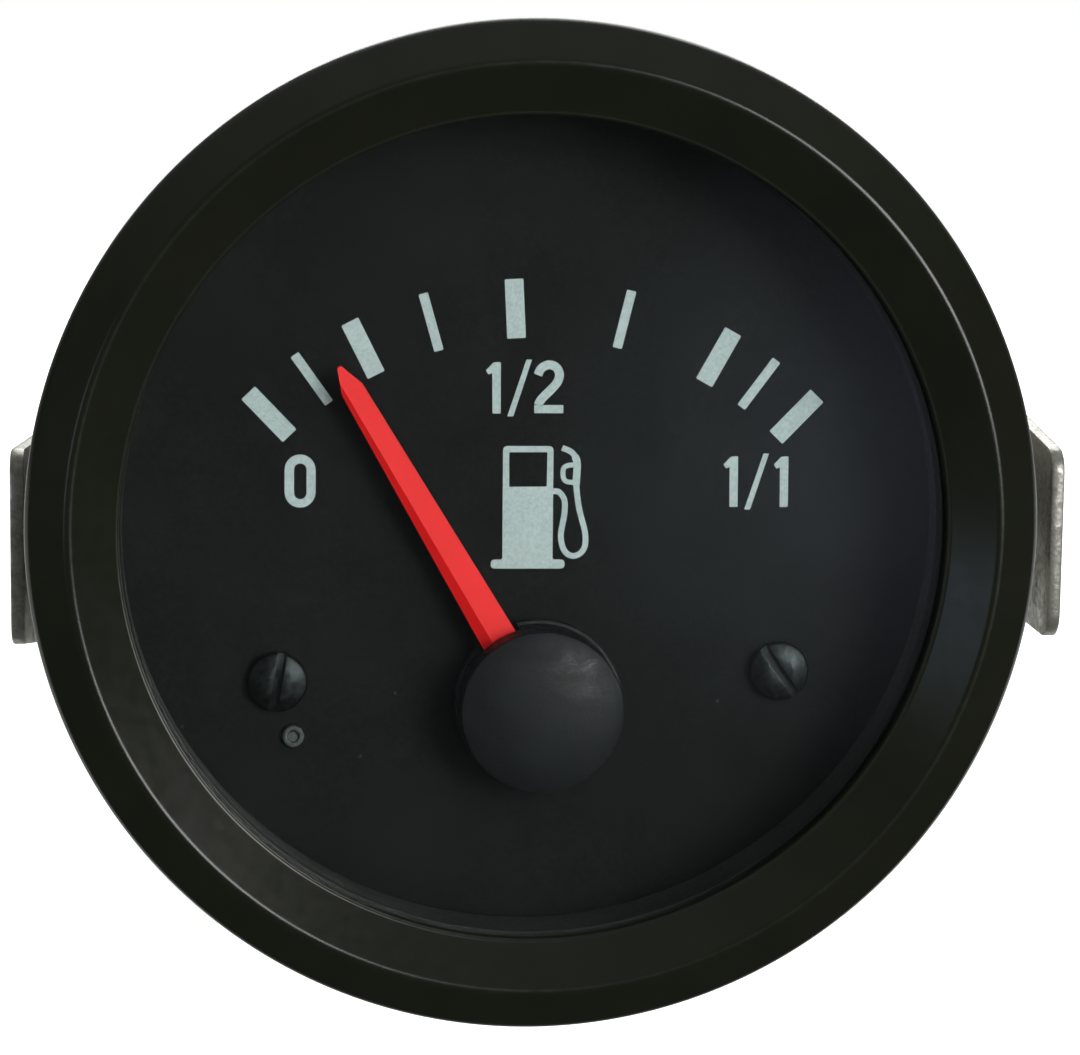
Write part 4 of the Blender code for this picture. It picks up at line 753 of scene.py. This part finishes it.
def make_case():
    """Deep-drawn cup with its rolled corner, rim and the holes in its rear face."""
    inside, floor = BARREL_RADIUS - CASE_WALL, REAR_FACE + CASE_WALL
    rim, rim_front, rim_rear = 0.0271, 0.0015, 0.0007
    section = [(FACE_START, floor, 0), (inside, floor, 0.0012), (inside, rim_front, 0.0001),
               (rim, rim_front, 0.00015), (rim, rim_rear, 0.00015),
               (BARREL_RADIUS, rim_rear, 0.0001), (BARREL_RADIUS, REAR_FACE, 0.002),
               (FACE_START, REAR_FACE, 0)]
    cup = turned("drawn_case_cup", corner_line(section, steps=6), 192)
    low, high = REAR_FACE - 0.001, REAR_FACE + 0.002
    for spot in STUD_SPOTS.values():
        hole = turned("hole", [(STUD_HOLE, low), (STUD_HOLE, high)], 48, at=spot)
        combine(cup, hole, "DIFFERENCE")
    hole = turned("hole", [(LAMP_HOLE, low), (LAMP_HOLE, high)], 96, at=(0, LAMP_RISE))
    combine(cup, hole, "DIFFERENCE")
    lug_way = block("hole", (0.0146, 0.0029, 0.003), (0, LAMP_RISE, (low + high) / 2))
    combine(cup, lug_way, "DIFFERENCE")
    terminal_way = [(y, x - TERMINAL_DROP) for x, y in stadium((0, 0), 0.0076, 0.0256)][::-1]
    combine(cup, flat("hole", [terminal_way], low, high), "DIFFERENCE")
    stand_up(cup)
    finish(cup, FINISHES["zinc_case"], "housing", ["case_cup"])


def wound_thread(core):
    """A screw thread: a V of two edges, wound up the stud from just above its end."""
    bpy.ops.object.select_all(action="DESELECT")
    bpy.ops.mesh.primitive_plane_add(size=MM)
    thread = bpy.context.object
    bpy.ops.object.mode_set(mode="EDIT")
    bpy.ops.mesh.select_all(action="DESELECT")
    bpy.ops.object.mode_set(mode="OBJECT")
    thread.data.vertices[0].select = True
    bpy.ops.object.mode_set(mode="EDIT")
    bpy.ops.mesh.delete(type="VERT")
    bpy.ops.object.mode_set(mode="OBJECT")
    order = [edge.vertices[:] for edge in thread.data.edges]
    middle = (set(order[0]) & set(order[1])).pop()
    ends = [v for pair in order for v in pair if v != middle]
    base = STUD_END + 0.0003
    thread.data.vertices[ends[0]].co = (core, 0, base)
    thread.data.vertices[middle].co = (STUD_RADIUS, 0, base + THREAD_PITCH / 2)
    thread.data.vertices[ends[1]].co = (core, 0, base + THREAD_PITCH)
    wind = thread.modifiers.new("Thread", "SCREW")
    wind.screw_offset = THREAD_PITCH
    wind.iterations = THREAD_TURNS
    wind.steps = wind.render_steps = 40
    wind.use_merge_vertices = True
    wind.merge_threshold = MERGE
    only(thread)
    bpy.ops.object.modifier_apply(modifier=wind.name)
    bpy.ops.object.mode_set(mode="EDIT")
    bpy.ops.mesh.select_all(action="SELECT")
    bpy.ops.mesh.remove_doubles(threshold=MERGE)
    bpy.ops.mesh.normals_make_consistent(inside=False)
    bpy.ops.object.mode_set(mode="OBJECT")
    return thread


def make_stud(side, spot):
    """A stud whose plain front half carries the case and whose rear half is threaded."""
    front, plain_end = -28.2 * MM, -38.6 * MM
    core = STUD_RADIUS - THREAD_DEPTH
    line = corner_line([
        (TIP_START, front, 0), (STUD_RADIUS, front, 0.0002), (STUD_RADIUS, plain_end, 0),
        (core, plain_end - 0.0004, 0), (core, STUD_END + 0.00025, 0), (core - 0.0003, STUD_END, 0),
        (TIP_START, STUD_END, 0)], steps=3)
    stud = turned("threaded_stud_" + side, line, 48)
    thread = wound_thread(core)
    stud.select_set(True)
    bpy.context.view_layer.objects.active = stud
    bpy.ops.object.join()
    stud.location = (*spot, 0)
    bpy.ops.object.transform_apply(location=True, rotation=True, scale=True)
    stand_up(stud)
    finish(stud, FINISHES["zinc_plate"], "housing", ["stud_" + side], 50)


def make_stud_nut(side, spot):
    """The hexagon nut that holds a stud, with its corners turned off."""
    front, rear, over = STUD_NUT_FRONT, STUD_NUT_REAR, 0.001
    corner, slope = STUD_NUT_HALF / math.cos(math.pi / 6), 0.00032
    nut = turned("hexagon_stud_nut_" + side, [
        (STUD_NUT_HALF, front), (corner, front - slope), (corner, rear + slope),
        (STUD_NUT_HALF, rear)], 96, at=spot)
    flats = turned("flats", [(corner, front + over), (corner, rear - over)], 6, at=spot)
    combine(nut, flats, "INTERSECT")
    bore = turned("bore", [(THREAD_BORE, front + over), (THREAD_BORE, rear - over)], 48, at=spot)
    combine(nut, bore, "DIFFERENCE")
    stand_up(nut)
    finish(nut, FINISHES["zinc_plate"], "housing", ["stud_nut_" + side], 22)


def make_studs():
    """On each side a threaded stud, the nut that holds it and the clamp's washer."""
    for side, spot in STUD_SPOTS.items():
        make_stud(side, spot)
        make_stud_nut(side, spot)
        washer = turned("plain_washer_" + side,
                        ring_line(STUD_HOLE, WASHER_RADIUS, WASHER_REAR, WASHER_FRONT, 0.00015),
                        96, closed=True, at=spot)
        stand_up(washer)
        finish(washer, FINISHES["zinc_plate"], "clamp", ["clamp_washer_" + side])


def make_thumb_nuts():
    """Knurled thumb nuts with a plain collar towards the washer."""
    ridges, radius, ridge = 20, 0.00485, 0.00015
    front, rear, collar_front = -47.7 * MM, -51.2 * MM, -46.7 * MM
    outline = []
    for i in range(ridges * 8):
        angle = 2 * math.pi * i / (ridges * 8)
        reach = radius + ridge * math.cos(ridges * angle)
        outline.append((reach * math.cos(angle), reach * math.sin(angle)))
    for side, spot in STUD_SPOTS.items():
        nut = flat("knurled_thumb_nut_" + side, [moved(outline, *spot)], rear, front)
        edge = turned("edge", in_metres([(4.5, -51.3), (5.1, -50.75), (5.1, -48.15), (4.5, -47.6)]),
                      96, at=spot)
        combine(nut, edge, "INTERSECT")
        collar = turned("collar", corner_line([
            (0.003, collar_front, 0), (0.0038, collar_front, 0.0002), (0.0038, -49.0 * MM, 0),
            (0.003, -49.0 * MM, 0)], steps=3), 96, at=spot)
        combine(nut, collar, "UNION")
        bore = turned("bore", in_metres([(2.4, -46.6), (2.1, -47.0), (2.1, -50.9), (2.5, -51.3)]),
                      48, at=spot)
        combine(nut, bore, "DIFFERENCE")
        stand_up(nut)
        finish(nut, FINISHES["zinc_plate"], "nut_" + side, ["thumb_nut_" + side], 28)


# Clamp, terminals and lamp --------------------------------------------------------------------

def make_clamp():
    """The folded clamp, a little taller than the solid and turned a trace, as in the photo."""
    clamp = worked_copy("clamp_bracket", "folded_clamp_strip", 0.00016, 50)
    bpy.ops.object.mode_set(mode="EDIT")
    bpy.ops.mesh.select_all(action="SELECT")
    bpy.ops.transform.resize(value=(1, 1, 1.035), center_override=(0, 0, STUD_SPOTS["left"][1]))
    bpy.ops.object.mode_set(mode="OBJECT")
    clamp.rotation_euler.y = math.radians(0.5)
    clamp.location.z = 0.15 * MM
    bpy.ops.object.transform_apply(location=True, rotation=True, scale=True)
    finish(clamp, FINISHES["zinc_plate"], "clamp", ["clamp_bracket"], 30)


def make_rear_fittings():
    """Insulator, blades and the twist-in lamp holder with its contacts."""
    fittings = [("terminal_insulator", "moulded_insulator", 0.0002, 40, "black_plastic", "housing")]
    for end in ("supply", "sender", "ground"):
        fittings.append(("terminal_" + end, end + "_blade", 0.00012, 40, "tinned_brass", "housing"))
    for side in ("left", "right"):
        fittings.append(("lamp_contact_" + side, "lamp_spring_contact_" + side, 0.0001, 40,
                         "tinned_brass", "lamp"))
    fittings.append(("lamp_holder", "twist_in_lamp_holder", 0.0002, 45, "black_plastic", "lamp"))
    for node, name, width, angle, slot, body in fittings:
        fitting = worked_copy(node, name, width, angle)
        finish(fitting, FINISHES[slot], body, [node])


make_bezel()
make_window()
make_dial_fittings()
make_pointer()
make_cap()
print_ticks()
print_numerals()
print_pump()
make_case()
make_studs()
make_thumb_nuts()
make_clamp()
make_rear_fittings()


# Shelf, lamps, room and camera ----------------------------------------------------------------

SKY = "d8e4ff"


def by_ray(tree, seen, mirrored, other):
    """One value for what the camera sees, one for what gloss and glass show, one for the rest."""
    path = add(tree, "LightPath")
    shiny = add(tree, "Math", {0: path.outputs["Is Glossy Ray"],
                               1: path.outputs["Is Transmission Ray"]}, operation="MAXIMUM")
    light = add(tree, "Mix", {0: shiny.outputs[0], 2: other, 3: mirrored}).outputs[0]
    return add(tree, "Mix", {0: path.outputs["Is Camera Ray"], 2: light, 3: seen}).outputs[0]


def stage_material(name, tone, glow):
    """Pale paint that also shows as white background where no shadow falls on it."""
    made, tree, shader = new_material(name, Roughness=0.9)
    grain = spread(tree, 30 * MM, Detail=2.0)
    tree.links.new(blend(tree, grain, colour(tone), colour("dfdfdd")), shader.inputs["Base Color"])
    shader.inputs["Emission Color"].default_value = (1, 1, 1, 1)
    tree.links.new(by_ray(tree, *glow, 0.0), shader.inputs["Emission Strength"])
    return made


def make_stage():
    """A pale shelf that the barrel lies on, with the bezel over its edge."""
    top, thick = -BARREL_RADIUS - 0.00002, 0.012
    shelf = block("pale_shelf", (1.6, 1.2, thick), (0, 0.612, top - thick / 2))
    shelf.data.materials.append(stage_material("pale_shelf_paint", "dededc", (0.85, 0.1)))


def lamp(name, place, size, watts, tint="ffffff", shape="SQUARE"):
    """A soft box aimed at the dial."""
    light = bpy.data.lights.new(name, "AREA")
    light.shape = shape
    light.size = size
    light.energy = watts
    light.color = colour(tint)[:3]
    obj = bpy.data.objects.new(name, light)
    bpy.context.scene.collection.objects.link(obj)
    obj.location = place
    obj.rotation_euler = (-Vector(place)).to_track_quat("-Z", "Y").to_euler()


def make_lamps():
    """A key from the upper right, a cool fill from the left and a soft one for the rear."""
    lamp("key_softbox", (0.35, -0.68, 0.13), 0.30, 3.3)
    lamp("side_window", (-0.66, -0.57, 0.04), 0.26, 0.32, SKY)
    lamp("rear_overhead", (0.1, 0.65, 0.55), 0.6, 4.4)
    # The window that the glass mirrors: discs in one place, dimmer towards their common rim
    rim = 0.125
    for step in range(15):
        radius = 0.02 + 0.007 * step
        watts = 2.1 * radius ** 2 * (1 - radius / rim)
        lamp("window_glow", (0.2, -0.9, -0.088), 2 * radius, watts, SKY, "DISK")


def make_world():
    """A room that shows white to the camera, and dark but for its back and top in gloss."""
    world = bpy.data.worlds.new("studio_room")
    bpy.context.scene.world = world
    world.use_nodes = True
    tree = world.node_tree
    room = tree.nodes["Background"]
    room.inputs["Color"].default_value = (1, 1, 1, 1)
    way = add(tree, "SeparateXYZ", {0: add(tree, "TexCoord").outputs["Generated"]}).outputs
    back = between(tree, way["Y"], 0.03, 0.5, 0.3, 1.0)
    top = between(tree, way["Z"], 0.0, 0.3, 0.3, 0.9)
    mirrored = add(tree, "Math", {0: back, 1: top}, operation="MAXIMUM").outputs[0]
    tree.links.new(by_ray(tree, 1.0, mirrored, 0.52), room.inputs["Strength"])


def make_camera():
    """The photograph's view, from the front, a little left of the dial and above it."""
    lens = bpy.data.cameras.new("front_camera")
    lens.sensor_fit = "HORIZONTAL"
    lens.sensor_width = 36
    lens.lens = 100.04
    lens.clip_start = 0.01
    camera = bpy.data.objects.new("front_camera", lens)
    bpy.context.scene.collection.objects.link(camera)
    place = (-0.015638, -0.1666, 0.021114)
    ahead = Vector((0.0952, 0.9874, -0.1261)).normalized()
    up = Vector((0, 0.1267, 0.992)).normalized()
    turn = Matrix((ahead.cross(up), up, -ahead)).transposed().to_4x4()
    camera.matrix_world = Matrix.Translation(place) @ turn
    bpy.context.scene.camera = camera


make_stage()
make_lamps()
make_world()
make_camera()
bpy.context.scene.view_settings.view_transform = "Standard"
